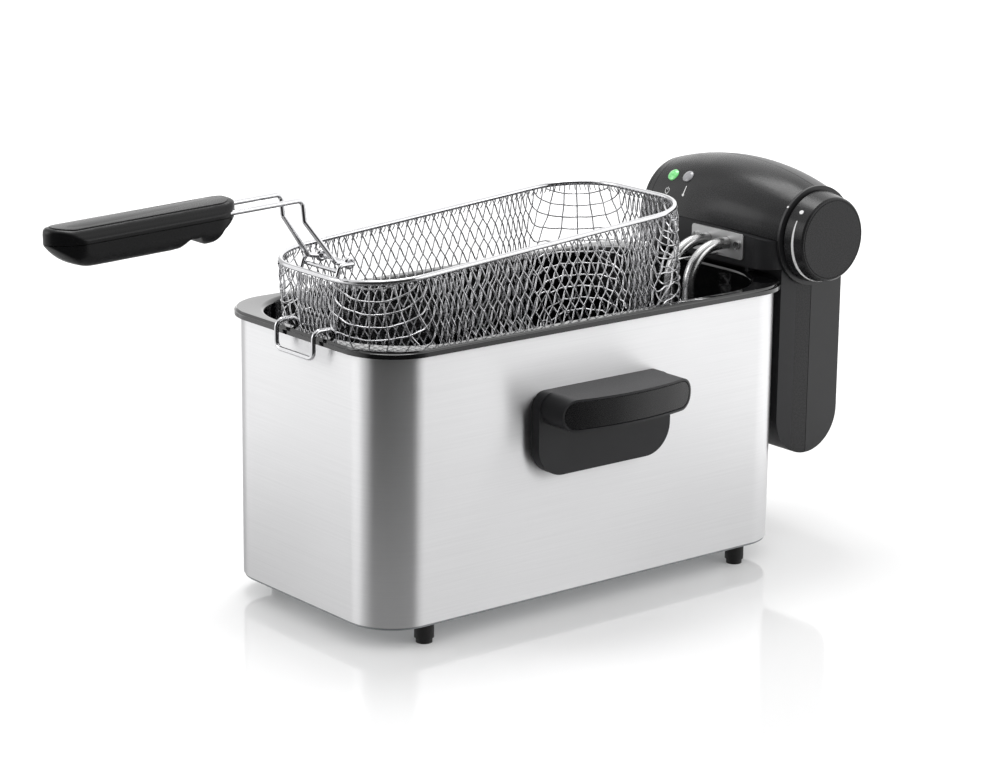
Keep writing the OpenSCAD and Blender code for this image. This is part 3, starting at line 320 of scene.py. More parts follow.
# ---- materials
def brushed_stainless():
    """Cold-rolled stainless sheet, brushed level: crisp across the grain, drawn out upwards."""
    m, tree, where = new_material("brushed_stainless_sheet")
    along = add(tree, "ShaderNodeMapping", {"Vector": where, "Scale": (0.012, 0.012, 1)})
    # grit lines about 1 mm apart, coarser than real ones so that they show
    lines = add(tree, "ShaderNodeTexNoise", {"Vector": along.outputs["Vector"], "Scale": 1000.0,
                                             "Detail": 3.0})
    # very soft mottling, some 60 mm across
    cloud = add(tree, "ShaderNodeTexNoise", {"Vector": where, "Scale": 16.0, "Detail": 2.0})
    tone = add(tree, "ShaderNodeMix", {"Factor": lines.outputs["Fac"], "A": linear("#dfdfe0"),
                                       "B": linear("#e9e9ea")}, data_type="RGBA")
    rough = add(tree, "ShaderNodeMapRange", {"Value": cloud.outputs["Fac"], "From Min": 0.3,
                                             "From Max": 0.7, "To Min": 0.34, "To Max": 0.4})
    bump = add(tree, "ShaderNodeBump", {"Height": lines.outputs["Fac"], "Distance": 0.006 * MM,
                                        "Strength": 0.15})
    tangent = add(tree, "ShaderNodeTangent", direction_type="RADIAL", axis="Z")
    shader = add(tree, "ShaderNodeBsdfPrincipled",
                 {"Base Color": tone.outputs["Result"], "Metallic": 1.0, "Roughness": rough.outputs["Result"],
                  "Anisotropic": 0.9, "Anisotropic Rotation": 0.25, "Normal": bump.outputs["Normal"],
                  "Tangent": tangent.outputs["Tangent"]})
    add(tree, "ShaderNodeOutputMaterial", {"Surface": shader.outputs["BSDF"]})
    return m


def grained_metal(name, grain_mm, dark, light, smoothest, roughest, relief_mm=0.0):
    """Small metal parts: a finish that drifts between two tones and two roughnesses."""
    m, tree, where = new_material(name)
    grain = add(tree, "ShaderNodeTexNoise", {"Vector": where, "Scale": 1000 / grain_mm, "Detail": 2.0})
    tone = add(tree, "ShaderNodeMix", {"Factor": grain.outputs["Fac"], "A": linear(dark),
                                       "B": linear(light)}, data_type="RGBA")
    rough = add(tree, "ShaderNodeMapRange", {"Value": grain.outputs["Fac"], "From Min": 0.3,
                                             "From Max": 0.7, "To Min": smoothest, "To Max": roughest})
    surface = {"Base Color": tone.outputs["Result"], "Metallic": 1.0, "Roughness": rough.outputs["Result"]}
    if relief_mm:
        bump = add(tree, "ShaderNodeBump", {"Height": grain.outputs["Fac"], "Distance": relief_mm * MM,
                                            "Strength": 0.1})
        surface["Normal"] = bump.outputs["Normal"]
    shader = add(tree, "ShaderNodeBsdfPrincipled", surface)
    add(tree, "ShaderNodeOutputMaterial", {"Surface": shader.outputs["BSDF"]})
    return m


def galvanised_sheet():
    """Plain zinc-coated sheet under the fryer: grey, with a faint spangle."""
    m, tree, where = new_material("zinc_coated_sheet")
    # spangle, some 9 mm across
    spangle = add(tree, "ShaderNodeTexVoronoi", {"Vector": where, "Scale": 110.0})
    tone = add(tree, "ShaderNodeMix", {"Factor": spangle.outputs["Distance"], "A": linear("#8d9092"),
                                       "B": linear("#b0b3b5")}, data_type="RGBA")
    rough = add(tree, "ShaderNodeMapRange", {"Value": spangle.outputs["Distance"], "From Max": 0.8,
                                             "To Min": 0.4, "To Max": 0.55})
    shader = add(tree, "ShaderNodeBsdfPrincipled",
                 {"Base Color": tone.outputs["Result"], "Metallic": 1.0,
                  "Roughness": rough.outputs["Result"]})
    add(tree, "ShaderNodeOutputMaterial", {"Surface": shader.outputs["BSDF"]})
    return m


def black_enamel():
    """Vitreous enamel fired on steel: a deep black glass skin with a slight orange peel."""
    m, tree, where = new_material("black_vitreous_enamel")
    # orange peel, lumps of some 5 mm
    peel = add(tree, "ShaderNodeTexNoise", {"Vector": where, "Scale": 200.0, "Detail": 1.0})
    tone = add(tree, "ShaderNodeMix", {"Factor": peel.outputs["Fac"], "A": linear("#070708"),
                                       "B": linear("#0e0e0f")}, data_type="RGBA")
    bump = add(tree, "ShaderNodeBump", {"Height": peel.outputs["Fac"], "Distance": 0.03 * MM,
                                        "Strength": 0.2})
    shader = add(tree, "ShaderNodeBsdfPrincipled",
                 {"Base Color": tone.outputs["Result"], "Roughness": 0.07, "IOR": 1.52, "Coat Weight": 0.4,
                  "Coat Roughness": 0.04, "Normal": bump.outputs["Normal"]})
    add(tree, "ShaderNodeOutputMaterial", {"Surface": shader.outputs["BSDF"]})
    return m


def moulded_plastic(name, dark, light, smoothest, grain_mm, ior=1.5):
    """Injection-moulded plastic with a spark-eroded grain that scatters the highlights."""
    m, tree, where = new_material(name)
    grain = add(tree, "ShaderNodeTexNoise", {"Vector": where, "Scale": 1000 / grain_mm, "Detail": 2.0})
    # slow drift of the moulding, some 25 mm across
    cloud = add(tree, "ShaderNodeTexNoise", {"Vector": where, "Scale": 40.0, "Detail": 2.0})
    tone = add(tree, "ShaderNodeMix", {"Factor": cloud.outputs["Fac"], "A": linear(dark),
                                       "B": linear(light)}, data_type="RGBA")
    rough = add(tree, "ShaderNodeMapRange", {"Value": grain.outputs["Fac"], "From Min": 0.3,
                                             "From Max": 0.7, "To Min": smoothest, "To Max": smoothest + 0.1})
    bump = add(tree, "ShaderNodeBump", {"Height": grain.outputs["Fac"], "Distance": 0.008 * MM,
                                        "Strength": 0.3})
    shader = add(tree, "ShaderNodeBsdfPrincipled",
                 {"Base Color": tone.outputs["Result"], "Roughness": rough.outputs["Result"], "IOR": ior,
                  "Normal": bump.outputs["Normal"]})
    add(tree, "ShaderNodeOutputMaterial", {"Surface": shader.outputs["BSDF"]})
    return m


def lens_plastic(name, deep, pale, glow):
    """Clear tinted polycarbonate over a lamp: bright where its facets catch light, dark at the foot."""
    m, tree, where = new_material(name)
    # flow marks of some 2.5 mm
    swirl = add(tree, "ShaderNodeTexNoise", {"Vector": where, "Scale": 400.0, "Detail": 1.0})
    tone = add(tree, "ShaderNodeMix", {"Factor": swirl.outputs["Fac"], "A": linear(deep),
                                       "B": linear(pale)}, data_type="RGBA")
    shader = add(tree, "ShaderNodeBsdfPrincipled",
                 {"Base Color": tone.outputs["Result"], "Roughness": 0.12, "IOR": 1.58, "Coat Weight": 0.5,
                  "Coat Roughness": 0.05, "Emission Color": tone.outputs["Result"],
                  "Emission Strength": glow})
    add(tree, "ShaderNodeOutputMaterial", {"Surface": shader.outputs["BSDF"]})
    return m


def matt_finish(name, grain_mm, dark, light, roughness, relief_mm=0.0, detail=2.0):
    """Ink, silicone and fired clay: hardly any shine, and a fine grain in two tones."""
    m, tree, where = new_material(name)
    grain = add(tree, "ShaderNodeTexNoise", {"Vector": where, "Scale": 1000 / grain_mm, "Detail": detail})
    tone = add(tree, "ShaderNodeMix", {"Factor": grain.outputs["Fac"], "A": linear(dark),
                                       "B": linear(light)}, data_type="RGBA")
    surface = {"Base Color": tone.outputs["Result"], "Roughness": roughness}
    if relief_mm:
        bump = add(tree, "ShaderNodeBump", {"Height": grain.outputs["Fac"], "Distance": relief_mm * MM,
                                            "Strength": 0.4})
        surface["Normal"] = bump.outputs["Normal"]
    shader = add(tree, "ShaderNodeBsdfPrincipled", surface)
    add(tree, "ShaderNodeOutputMaterial", {"Surface": shader.outputs["BSDF"]})
    return m


STEEL = brushed_stainless()
# Nickel-chrome plated wire, a bright mirror a little clouded by the plating: the cloth duller than the rods
WIRE = grained_metal("bright_plated_cloth", 4, "#d2d2d4", "#e4e4e6", 0.24, 0.3)
ROD = grained_metal("bright_plated_rod", 4, "#cfcfd1", "#e0e0e2", 0.07, 0.13)
# Drawn stainless tube: soft grey reflections, faint draw marks about 3 mm long
SATIN = grained_metal("satin_stainless", 3.03, "#c8c8c8", "#d8d8d8", 0.2, 0.26, 0.003)
# Bead-blasted stainless: an even light grey without clear reflections
PLATE = grained_metal("blasted_stainless_plate", 0.5, "#cfcfcf", "#e0e0e0", 0.42, 0.5)
# Zinc-plated screws: dull bluish grey
ZINC = grained_metal("zinc_plated_steel", 0.8, "#a4a7aa", "#c8cbcd", 0.28, 0.42)
SHEET = galvanised_sheet()
ENAMEL = black_enamel()
# Black plastics, from the dull side handles to the glossier head
HANDLE = moulded_plastic("black_phenolic", "#1f1f21", "#262628", 0.42, 0.6, 1.42)
HEAD = moulded_plastic("black_abs", "#1b1b1c", "#212122", 0.22, 0.6, 1.37)
COVER = moulded_plastic("black_abs_cover", "#1b1b1c", "#212123", 0.3, 0.6)
GRIP = moulded_plastic("black_grip_plastic", "#0c0c0d", "#111112", 0.26, 0.7, 1.33)
PANEL = moulded_plastic("black_grip_panel", "#0c0c0d", "#101011", 0.2, 0.5, 1.33)
INLAY = moulded_plastic("black_inlay_plastic", "#0f0f10", "#141415", 0.22, 0.5, 1.4)
FOOT = moulded_plastic("black_foot_plastic", "#0c0c0c", "#141414", 0.5, 0.8)
SWITCH = moulded_plastic("black_switch_plastic", "#101010", "#181818", 0.45, 0.8)
GREEN_LENS = lens_plastic("green_polycarbonate", "#2f9e43", "#8fe093", 0.45)
CLEAR_LENS = lens_plastic("smoked_polycarbonate", "#77777a", "#a3a3a6", 0.05)
# Pad-printed ink: white, a little uneven
PRINT = matt_finish("white_pad_print", 0.5, "#dcdcdc", "#f6f6f6", 0.5)
# Silicone insulation of the leads: brick red
LEADS = matt_finish("silicone_insulation", 1, "#8c1a12", "#a32318", 0.6)
# Pressed steatite of the terminal block and lamp holders: chalky off-white
CERAMIC = matt_finish("pressed_steatite", 1, "#d8d5cb", "#e9e6dd", 0.6, 0.03, 3.0)


# ---- camera, lights, floor
def make_camera():
    """A long lens from the front right, a little above the fryer, with a slight roll."""
    level = math.cos(CAMERA_ELEVATION)
    back = Vector((math.sin(CAMERA_AZIMUTH) * level, -math.cos(CAMERA_AZIMUTH) * level,
                   math.sin(CAMERA_ELEVATION)))
    right = Vector((math.cos(CAMERA_AZIMUTH), math.sin(CAMERA_AZIMUTH), 0))
    up = back.cross(right)
    across = right * math.cos(CAMERA_ROLL) + up * math.sin(CAMERA_ROLL)
    above = up * math.cos(CAMERA_ROLL) - right * math.sin(CAMERA_ROLL)
    turn = Matrix((across, above, back)).transposed()
    data = bpy.data.cameras.new("view")
    data.sensor_width = 36
    data.lens = CAMERA_LENS
    data.clip_end = 20
    camera = bpy.data.objects.new("view", data)
    camera.matrix_world = Matrix.Translation(CAMERA_PLACE) @ turn.to_4x4()
    bpy.context.scene.collection.objects.link(camera)
    bpy.context.scene.camera = camera


def make_lamps():
    """Plain soft light from square softboxes that the camera doesn't see."""
    for name, place, side, power in SOFTBOXES:
        data = bpy.data.lights.new(name, "AREA")
        data.shape = "SQUARE"
        data.size = side
        data.energy = power
        light = bpy.data.objects.new(name, data)
        light.location = place
        light.visible_camera = False
        light.rotation_euler = (Vector(SOFTBOX_AIM) - Vector(place)).to_track_quat("-Z", "Y").to_euler()
        bpy.context.scene.collection.objects.link(light)


def make_room():
    """White room. Metal and glass see it brighter or dimmer by direction, dark at the black flags."""
    world = bpy.data.worlds.new("studio")
    world.use_nodes = True
    bpy.context.scene.world = world
    tree = world.node_tree
    tree.nodes.clear()
    way = add(tree, "ShaderNodeTexCoord").outputs["Generated"]
    split = add(tree, "ShaderNodeSeparateXYZ", {"Vector": way})
    behind = add(tree, "ShaderNodeMath", {0: split.outputs["Y"], 1: -1.0}, operation="MULTIPLY")
    azimuth = add(tree, "ShaderNodeMath", {0: split.outputs["X"], 1: behind.outputs["Value"]},
                  operation="ARCTAN2")
    turned = add(tree, "ShaderNodeMapRange", {"Value": azimuth.outputs["Value"], "From Min": -math.pi,
                                              "From Max": math.pi})
    room = add(tree, "ShaderNodeValToRGB", {"Fac": turned.outputs["Result"]})
    fill_ramp(room.color_ramp, [((degrees + 180) / 360, (level, level, level, 1))
                                for degrees, level in ROOM_LEVELS])
    # the white ceiling takes over high up
    ceiling = add(tree, "ShaderNodeMapRange", {"Value": split.outputs["Z"], "From Min": 0.7,
                                               "From Max": 0.9}, interpolation_type="SMOOTHSTEP")
    seen = add(tree, "ShaderNodeMix", {"Factor": ceiling.outputs["Result"], "A": room.outputs["Color"],
                                       "B": (1, 1, 1, 1)}, data_type="RGBA")
    mirrored = add(tree, "ShaderNodeBackground", {"Color": seen.outputs["Result"]})
    backdrop = add(tree, "ShaderNodeBackground", {"Color": (1, 1, 1, 1)})
    light = add(tree, "ShaderNodeBackground", {"Color": (1, 1, 1, 1), "Strength": WORLD_LIGHT})
    path = add(tree, "ShaderNodeLightPath")
    shiny = add(tree, "ShaderNodeMath", {0: path.outputs["Is Glossy Ray"],
                                         1: path.outputs["Is Transmission Ray"]}, operation="MAXIMUM")
    unseen = add(tree, "ShaderNodeMixShader", {"Fac": shiny.outputs["Value"],
                                               1: light.outputs["Background"],
                                               2: mirrored.outputs["Background"]})
    whole = add(tree, "ShaderNodeMixShader", {"Fac": path.outputs["Is Camera Ray"],
                                              1: unseen.outputs["Shader"],
                                              2: backdrop.outputs["Background"]})
    add(tree, "ShaderNodeOutputWorld", {"Surface": whole.outputs["Shader"]})


def fill_ramp(ramp, stops):
    """Sets a colour ramp's stops: (place, colour) pairs in order."""
    while len(ramp.elements) < len(stops):
        ramp.elements.new(1.0)
    for element, (place, colour) in zip(ramp.elements, stops):
        element.position = place
        element.color = colour


def make_floor():
    """White table. A smaller top lies under it for mirrored rays only, so far parts reflect the room."""
    only()
    bpy.ops.mesh.primitive_plane_add(size=TABLE_SIZE, location=(0, 0, 0))
    floor = bpy.context.object
    floor.name = "floor"
    floor.visible_glossy = False
    floor.data.materials.append(white_table("white_table", "#f8f8f8"))
    bpy.ops.mesh.primitive_circle_add(vertices=64, radius=MIRRORED_R, fill_type="NGON",
                                      location=(0, 0, -0.5 * MM))
    table = bpy.context.object
    table.name = "mirrored_table"
    table.visible_camera = False
    table.visible_diffuse = False
    table.visible_shadow = False
    table.data.materials.append(white_table("white_table_in_mirror", "#cccccc"))


def white_table(name, tone):
    """Polished white laminate with a faint mirror, lifted to the backdrop's white where the eye sees it."""
    m, tree, where = new_material(name)
    # faint unevenness of the polish, some 300 mm across
    cloud = add(tree, "ShaderNodeTexNoise", {"Vector": where, "Scale": 3.0, "Detail": 1.0})
    rough = add(tree, "ShaderNodeMapRange", {"Value": cloud.outputs["Fac"], "To Min": 0.05, "To Max": 0.09})
    shader = add(tree, "ShaderNodeBsdfPrincipled",
                 {"Base Color": linear(tone), "Roughness": rough.outputs["Result"], "IOR": 1.3})
    # the lift grows away from the fryer, where the lamps no longer reach
    away = add(tree, "ShaderNodeVectorMath", {0: where}, operation="LENGTH")
    lift = add(tree, "ShaderNodeMapRange", {"Value": away.outputs["Value"], "From Min": 0.7, "From Max": 1.8,
                                            "To Min": TABLE_LIFT, "To Max": FAR_LIFT})
    white = add(tree, "ShaderNodeEmission", {"Color": (1, 1, 1, 1), "Strength": lift.outputs["Result"]})
    both = add(tree, "ShaderNodeAddShader", {0: shader.outputs["BSDF"], 1: white.outputs["Emission"]})
    path = add(tree, "ShaderNodeLightPath")
    seen = add(tree, "ShaderNodeMixShader", {"Fac": path.outputs["Is Camera Ray"],
                                             1: shader.outputs["BSDF"], 2: both.outputs["Shader"]})
    add(tree, "ShaderNodeOutputMaterial", {"Surface": seen.outputs["Shader"]})
    return m


# ---- shell and pot
def make_shell():
    """A drawn sheet wall whose lower edge turns in as a small rolled hem."""
    o = plate(SHELL_HX, SHELL_HY, SHELL_R, SHELL_TOP)
    rise(-(SHELL_TOP - SHELL_LOW - HEM_R))
    for inwards, down in reversed(quarter_steps(HEM_R, 5)):
        step_in(down, -inwards)
    bpy.ops.mesh.delete(type="ONLY_FACE")
    open_at(o, SHELL_TOP)
    face_out(o)
    modifier(o, "SOLIDIFY", thickness=SHELL_T * MM, offset=-1)
    smooth(o, 40)
    dress(o, "shell_wall", "shell", "shell_steel", STEEL, "outer_shell")


def make_pot():
    """The enamelled pot: a turned-down flange that meets a deep bowl in a rolled lip."""
    rim = plate(FLANGE_HX, FLANGE_HY, FLANGE_R, FLANGE_TOP - FLANGE_DROP)
    rise(FLANGE_DROP - FLANGE_EDGE_R)
    for inwards, down in reversed(quarter_steps(FLANGE_EDGE_R, 5)):
        step_in(down, inwards)
    bpy.ops.mesh.delete(type="ONLY_FACE")
    open_at(rim, FLANGE_TOP - FLANGE_DROP)
    bowl = plate(POT_HX + POT_LIP_R, POT_HY + POT_LIP_R, POT_R + POT_LIP_R, FLANGE_TOP)
    for inwards, down in quarter_steps(POT_LIP_R, 6):
        step_in(inwards, -down)
    rise(-(FLANGE_TOP - POT_LIP_R - POT_FLOOR - POT_FLOOR_R))
    for inwards, down in reversed(quarter_steps(POT_FLOOR_R, 7)):
        step_in(down, -inwards)
    only(rim, bowl)
    bpy.ops.object.join()
    edit(rim, "DESELECT")
    pick(rim, "edges", lambda e: e.is_boundary and all(v.co.z > (FLANGE_TOP - 0.1) * MM for v in e.verts))
    bpy.ops.mesh.bridge_edge_loops()
    face_out(rim)
    # the largest face is the bowl's floor, which has to look up
    if max(rim.data.polygons, key=lambda p: p.area).normal.z < 0:
        edit(rim)
        bpy.ops.mesh.flip_normals()
        only(rim)
    modifier(rim, "SOLIDIFY", thickness=POT_T * MM, offset=-1)
    smooth(rim, 40)
    dress(rim, "enamel_pot", "pot", "pot_enamel", ENAMEL, "oil_pot")


# ---- basket
# Lengths of the rim's straights and corners, going round from the middle of the back, and the distances
# of the corners' middles
FRONT, SIDE, CORNER = 2 * (BASKET_HX - BASKET_R), 2 * (BASKET_HY - BASKET_R), BASKET_R * math.pi / 2
WALL_LINE = [FRONT / 2, CORNER, SIDE, CORNER, FRONT, CORNER, SIDE, CORNER, FRONT / 2]
WALL_MARKS = np.cumsum([0] + WALL_LINE)
AROUND = sum(WALL_LINE)
CORNERS = [sum(WALL_LINE[:i]) + CORNER / 2 for i in (1, 3, 5, 7)]
WALL_DOWN = BASKET_DEPTH - BASKET_FLOOR_R
FILLET = BASKET_FLOOR_R * math.pi / 2


def around_basket(s):
    """Centre of curvature and outward direction at a distance s around the rim."""
    a, b = BASKET_HX - BASKET_R, BASKET_HY - BASKET_R
    s = s % AROUND
    k = min(int(np.searchsorted(WALL_MARKS, s, side="right")) - 1, 8)
    d = s - WALL_MARKS[k]
    corner = {1: (-a, b, 90), 3: (-a, -b, 180), 5: (a, -b, 270), 7: (a, b, 0)}
    if k in corner:
        cx, cy, start = corner[k]
        t = math.radians(start) + d / BASKET_R
        return (cx, cy), (math.cos(t), math.sin(t))
    line = {0: ((-d, b), (0, 1)), 2: ((-a, b - d), (-1, 0)), 4: ((-a + d, -b), (0, -1)),
            6: ((a, -b + d), (1, 0)), 8: ((a - d, b), (0, 1))}
    return line[k]


def on_wall(s, down):
    """Point and outward normal on the wire cloth, down from the rim and round into the floor."""
    (cx, cy), (nx, ny) = around_basket(s)
    if down <= WALL_DOWN:
        out, z, tilt = BASKET_R, -down, 0.0
    else:
        tilt = min((down - WALL_DOWN) / BASKET_FLOOR_R, math.pi / 2)
        out = BASKET_R - BASKET_FLOOR_R * (1 - math.cos(tilt))
        z = -WALL_DOWN - BASKET_FLOOR_R * math.sin(tilt)
    normal = (nx * math.cos(tilt), ny * math.cos(tilt), -math.sin(tilt))
    return (cx + nx * out, cy + ny * out, z), normal


def hung(points):
    """Basket-frame points in millimetres, tilted and set in place, in metres."""
    p = np.asarray(points, float)
    y = p[:, 1] + BASKET_HY
    c, s = math.cos(BASKET_TILT), math.sin(BASKET_TILT)
    return np.c_[p[:, 0], BASKET_FRONT_Y + y * c - p[:, 2] * s, BASKET_FRONT_Z + y * s + p[:, 2] * c] * MM


def from_corner(s, k):
    """Signed distance along the rim from the middle of corner k."""
    return (s - CORNERS[k] + AROUND / 2) % AROUND - AROUND / 2


def phases(s_values, down_values):
    """The two families of wires as phases: a wire runs wherever a phase is a whole number.
    Each family sags round two opposite corners and runs straight down the other two. Beside the
    corners the cloth is squeezed, and it opens out along the straight walls."""
    s = np.linspace(0, AROUND, 4001)
    away = np.min([np.abs(from_corner(s, k)) for k in range(4)], axis=0)
    fields = []
    for first in (0, 1):
        sagging = np.minimum(np.abs(from_corner(s, first)), np.abs(from_corner(s, first + 2)))
        sags = sagging <= away + 1e-9
        flat = np.where(sags, np.interp(away, KNOTS, ACROSS_SAG), np.interp(away, KNOTS, ACROSS_DOWN))
        steep = np.where(sags, np.interp(away, KNOTS, DOWN_SAG), np.interp(away, KNOTS, DOWN_DOWN))
        half = ((s - CORNERS[first]) % AROUND) < AROUND / 2
        flat = np.where(half, -flat, flat)
        side = ((s - CORNERS[(first + 1) % 4]) % AROUND) < AROUND / 2
        steep = np.where(side, steep, -steep)
        run = np.concatenate([[0], np.cumsum((flat[1:] + flat[:-1]) / 2 * np.diff(s))])
        fields.append(np.interp(s_values, s, run) + down_values * np.interp(s_values, s, steep))
    return fields


def wall_grid():
    """The cloth's walls and their rounding into the floor: points, normals and both phases."""
    s = np.linspace(0, AROUND, GRID_AROUND)[:-1]
    down = np.concatenate([np.linspace(GRID_FROM, WALL_DOWN, GRID_DOWN),
                           WALL_DOWN + np.linspace(0, FILLET, GRID_FILLET)[1:]])
    points = np.zeros((len(down), len(s), 3))
    normals = np.zeros_like(points)
    for i, d in enumerate(down):
        for j, value in enumerate(s):
            points[i, j], normals[i, j] = on_wall(value, d)
    one, two = phases(*np.meshgrid(s, down))
    return points, normals, one, two


def floor_grid():
    """The cloth's floor, row by row from its two long edges, so that wires carry on across it."""
    hx, hy, r = (v - BASKET_FLOOR_R for v in (BASKET_HX, BASKET_HY, BASKET_R))
    straight = hy - r
    turn = np.linspace(-math.pi / 2, 0, GRID_TURN)
    rows = np.concatenate([-straight + r * np.sin(turn), np.linspace(-straight, straight, GRID_ALONG)[1:-1],
                           straight - r * np.sin(turn[::-1])])
    share = np.linspace(0, 1, GRID_ACROSS)
    points = np.zeros((len(rows), len(share), 3))
    edge_one = np.zeros((len(rows), 2))
    edge_two = np.zeros((len(rows), 2))
    for i, y in enumerate(rows):
        angle = math.asin(min(max(abs(y) - straight, 0) / r, 1))
        half = hx - r + r * math.cos(angle)
        bend = angle * BASKET_R
        if y >= 0:
            left = CORNERS[0] + CORNER / 2 + (straight - min(y, straight)) - bend
            right = CORNERS[3] - CORNER / 2 - (straight - min(y, straight)) + bend
        else:
            left = CORNERS[1] - CORNER / 2 - (straight + max(y, -straight)) + bend
            right = CORNERS[2] + CORNER / 2 + (straight + max(y, -straight)) - bend
        points[i] = np.c_[-half + 2 * half * share, np.full(len(share), y),
                          np.full(len(share), -BASKET_DEPTH)]
        edge_one[i], edge_two[i] = phases(np.array([left, right]), np.full(2, WALL_DOWN + FILLET))
    one = edge_one[:, :1] * (1 - share) + edge_one[:, 1:] * share
    two = edge_two[:, :1] * (1 - share) + edge_two[:, 1:] * share
    normals = np.zeros_like(points)
    normals[:, :, 2] = -1
    return points, normals, one, two


def crossings(value, grids, closed):
    """Where a field is nought along the edges of its grid, and which of those places share a cell."""
    rows, cols = value.shape
    above = value > 0
    beside = np.roll(above, -1, axis=1) if closed else above[:, 1:]
    here = above if closed else above[:, :-1]
    links, crossing = {}, {}
    for i in range(rows - 1):
        mixed = (here[i] != beside[i]) | (here[i] != here[i + 1]) | (here[i] != beside[i + 1])
        for j in np.flatnonzero(mixed):
            k = (j + 1) % cols
            hits = []
            for kind, i0, j0, i1, j1 in (("across", i, j, i, k), ("across", i + 1, j, i + 1, k),
                                         ("down", i, j, i + 1, j), ("down", i, k, i + 1, k)):
                if above[i0, j0] == above[i1, j1]:
                    continue
                key = (kind, i0, j0)
                hits.append(key)
                if key not in crossing:
                    t = value[i0, j0] / (value[i0, j0] - value[i1, j1])
                    crossing[key] = [grid[i0, j0] * (1 - t) + grid[i1, j1] * t for grid in grids]
            if len(hits) == 2:
                links.setdefault(hits[0], []).append(hits[1])
                links.setdefault(hits[1], []).append(hits[0])
    return links, crossing


def chains(links):
    """Joins linked places into chains, first those with ends, then the closed ones."""
    found = []
    unused = dict.fromkeys(links)
    for start in [k for k in links if len(links[k]) == 1] + list(links):
        if start not in unused:
            continue
        chain = []
        ahead = [start]
        while ahead:
            chain.append(ahead[0])
            del unused[ahead[0]]
            ahead = [k for k in links[chain[-1]] if k in unused]
        if len(chain) > 2:
            found.append(chain)
    return found


def woven(field, points, normals, other, closed, sign):
    """The wires of one family: a run of basket-frame points, waved over and under, for each level."""
    runs = []
    for level in range(math.ceil(field.min()), math.floor(field.max()) + 1):
        links, crossing = crossings(field - level, (points, normals, other), closed)
        for chain in chains(links):
            p, n, phase = (np.array([crossing[k][part] for k in chain]) for part in range(3))
            n = n / np.linalg.norm(n, axis=1, keepdims=True)
            wave = sign * WIRE_LIFT * (-1) ** level * np.cos(math.pi * phase)
            runs.append(hung(thin_out(p + n * wave[:, None])))
    return runs


def thin_out(points):
    """Drops points that lie closer together than WIRE_STEP, keeping both ends."""
    kept = [points[0]]
    for p in points[1:-1]:
        if np.linalg.norm(p - kept[-1]) >= WIRE_STEP:
            kept.append(p)
    kept.append(points[-1])
    return kept


def wires(name, runs, diameter, roundness=1):
    """One mesh of wires along lists of points in metres, with 4 + 2 * roundness sides."""
    data = bpy.data.curves.new(name, "CURVE")
    data.dimensions = "3D"
    data.bevel_depth = diameter / 2 * MM
    data.bevel_resolution = roundness
    data.use_fill_caps = True
    for run in runs:
        spline = data.splines.new("POLY")
        spline.points.add(len(run) - 1)
        spline.points.foreach_set("co", np.c_[run, np.ones(len(run))].ravel())
    o = bpy.data.objects.new(name, data)
    bpy.context.scene.collection.objects.link(o)
    only(o)
    bpy.ops.object.convert(target="MESH")
    o = bpy.context.object
    bpy.ops.object.shade_smooth()
    return o


def make_wire_cloth():
    """Plain-woven wire cloth: square on the bias, drawn into diamonds on the straight walls."""
    warp, weft = [], []
    for (points, normals, one, two), closed in ((wall_grid(), True), (floor_grid(), False)):
        warp += woven(one, points, normals, two, closed, 1)
        weft += woven(two, points, normals, one, closed, -1)
    first = wires("wire_cloth_warp", warp, WIRE_D)
    dress(first, "wire_cloth_warp", "basket", "basket_wire", WIRE, "basket_mesh")
    second = wires("wire_cloth_weft", weft, WIRE_D)
    dress(second, "wire_cloth_weft", "basket", "basket_wire", WIRE)


# ---- bent wires
def bent(corners, radius):
    """A polyline in millimetres with its inner corners rounded."""
    p = [Vector(c) for c in corners]
    line = [p[0]]
    for before, here, after in zip(p, p[1:], p[2:]):
        one, two = (before - here).normalized(), (after - here).normalized()
        half = one.angle(two) / 2
        r = min(radius, 0.45 * math.tan(half) * min((before - here).length, (after - here).length))
        centre = here + (one + two).normalized() * (r / math.sin(half))
        start, end = here + one * (r / math.tan(half)), here + two * (r / math.tan(half))
        arm, reach = start - centre, end - centre
        sweep = arm.angle(reach)
        for i in range(BEND_STEPS + 1):
            t = i / BEND_STEPS
            line.append(centre + (arm * math.sin((1 - t) * sweep) + reach * math.sin(t * sweep))
                        / math.sin(sweep))
    return line + [p[-1]]


def wire_piece(name, runs, diameter, body, *replaced):
    """A plated piece of bent wires, from runs of points in millimetres."""
    o = wires(name, [np.array([list(v) for v in run]) * MM for run in runs], diameter, 3)
    return dress(o, name, body, "basket_wire", ROD, *replaced)


def wall_y(z):
    """Where the basket's front wall stands at a height, outside face."""
    return BASKET_FRONT_Y - CLOTH_FACE + (BASKET_FRONT_Z - z) * math.tan(BASKET_TILT)


def make_rim():
    """The rim: a flattened wire ring that the cloth's cut ends are folded round."""
    ring = [on_wall(s, 0) for s in np.linspace(0, AROUND, RIM_STEPS + 1)[:-1]]
    loop = hung([np.array(p) - np.array(n) * RIM_WIDE / 2 for p, n in ring])
    o = wires("rim_ring", [np.r_[loop, loop[:1]]], RIM_HIGH, 3)
    dress(o, "rim_ring", "basket", "basket_wire", ROD, "basket_rim")
    ends = []
    for s in np.arange(0, AROUND, END_SPACING):
        p, n = (np.array(v) for v in on_wall(s, 0))
        ends.append(hung([p - n * inwards + (0, 0, up) for inwards, up in END_LINE]))
    dress(wires("folded_ends", ends, END_D, 0), "folded_ends", "basket", "basket_wire", WIRE)


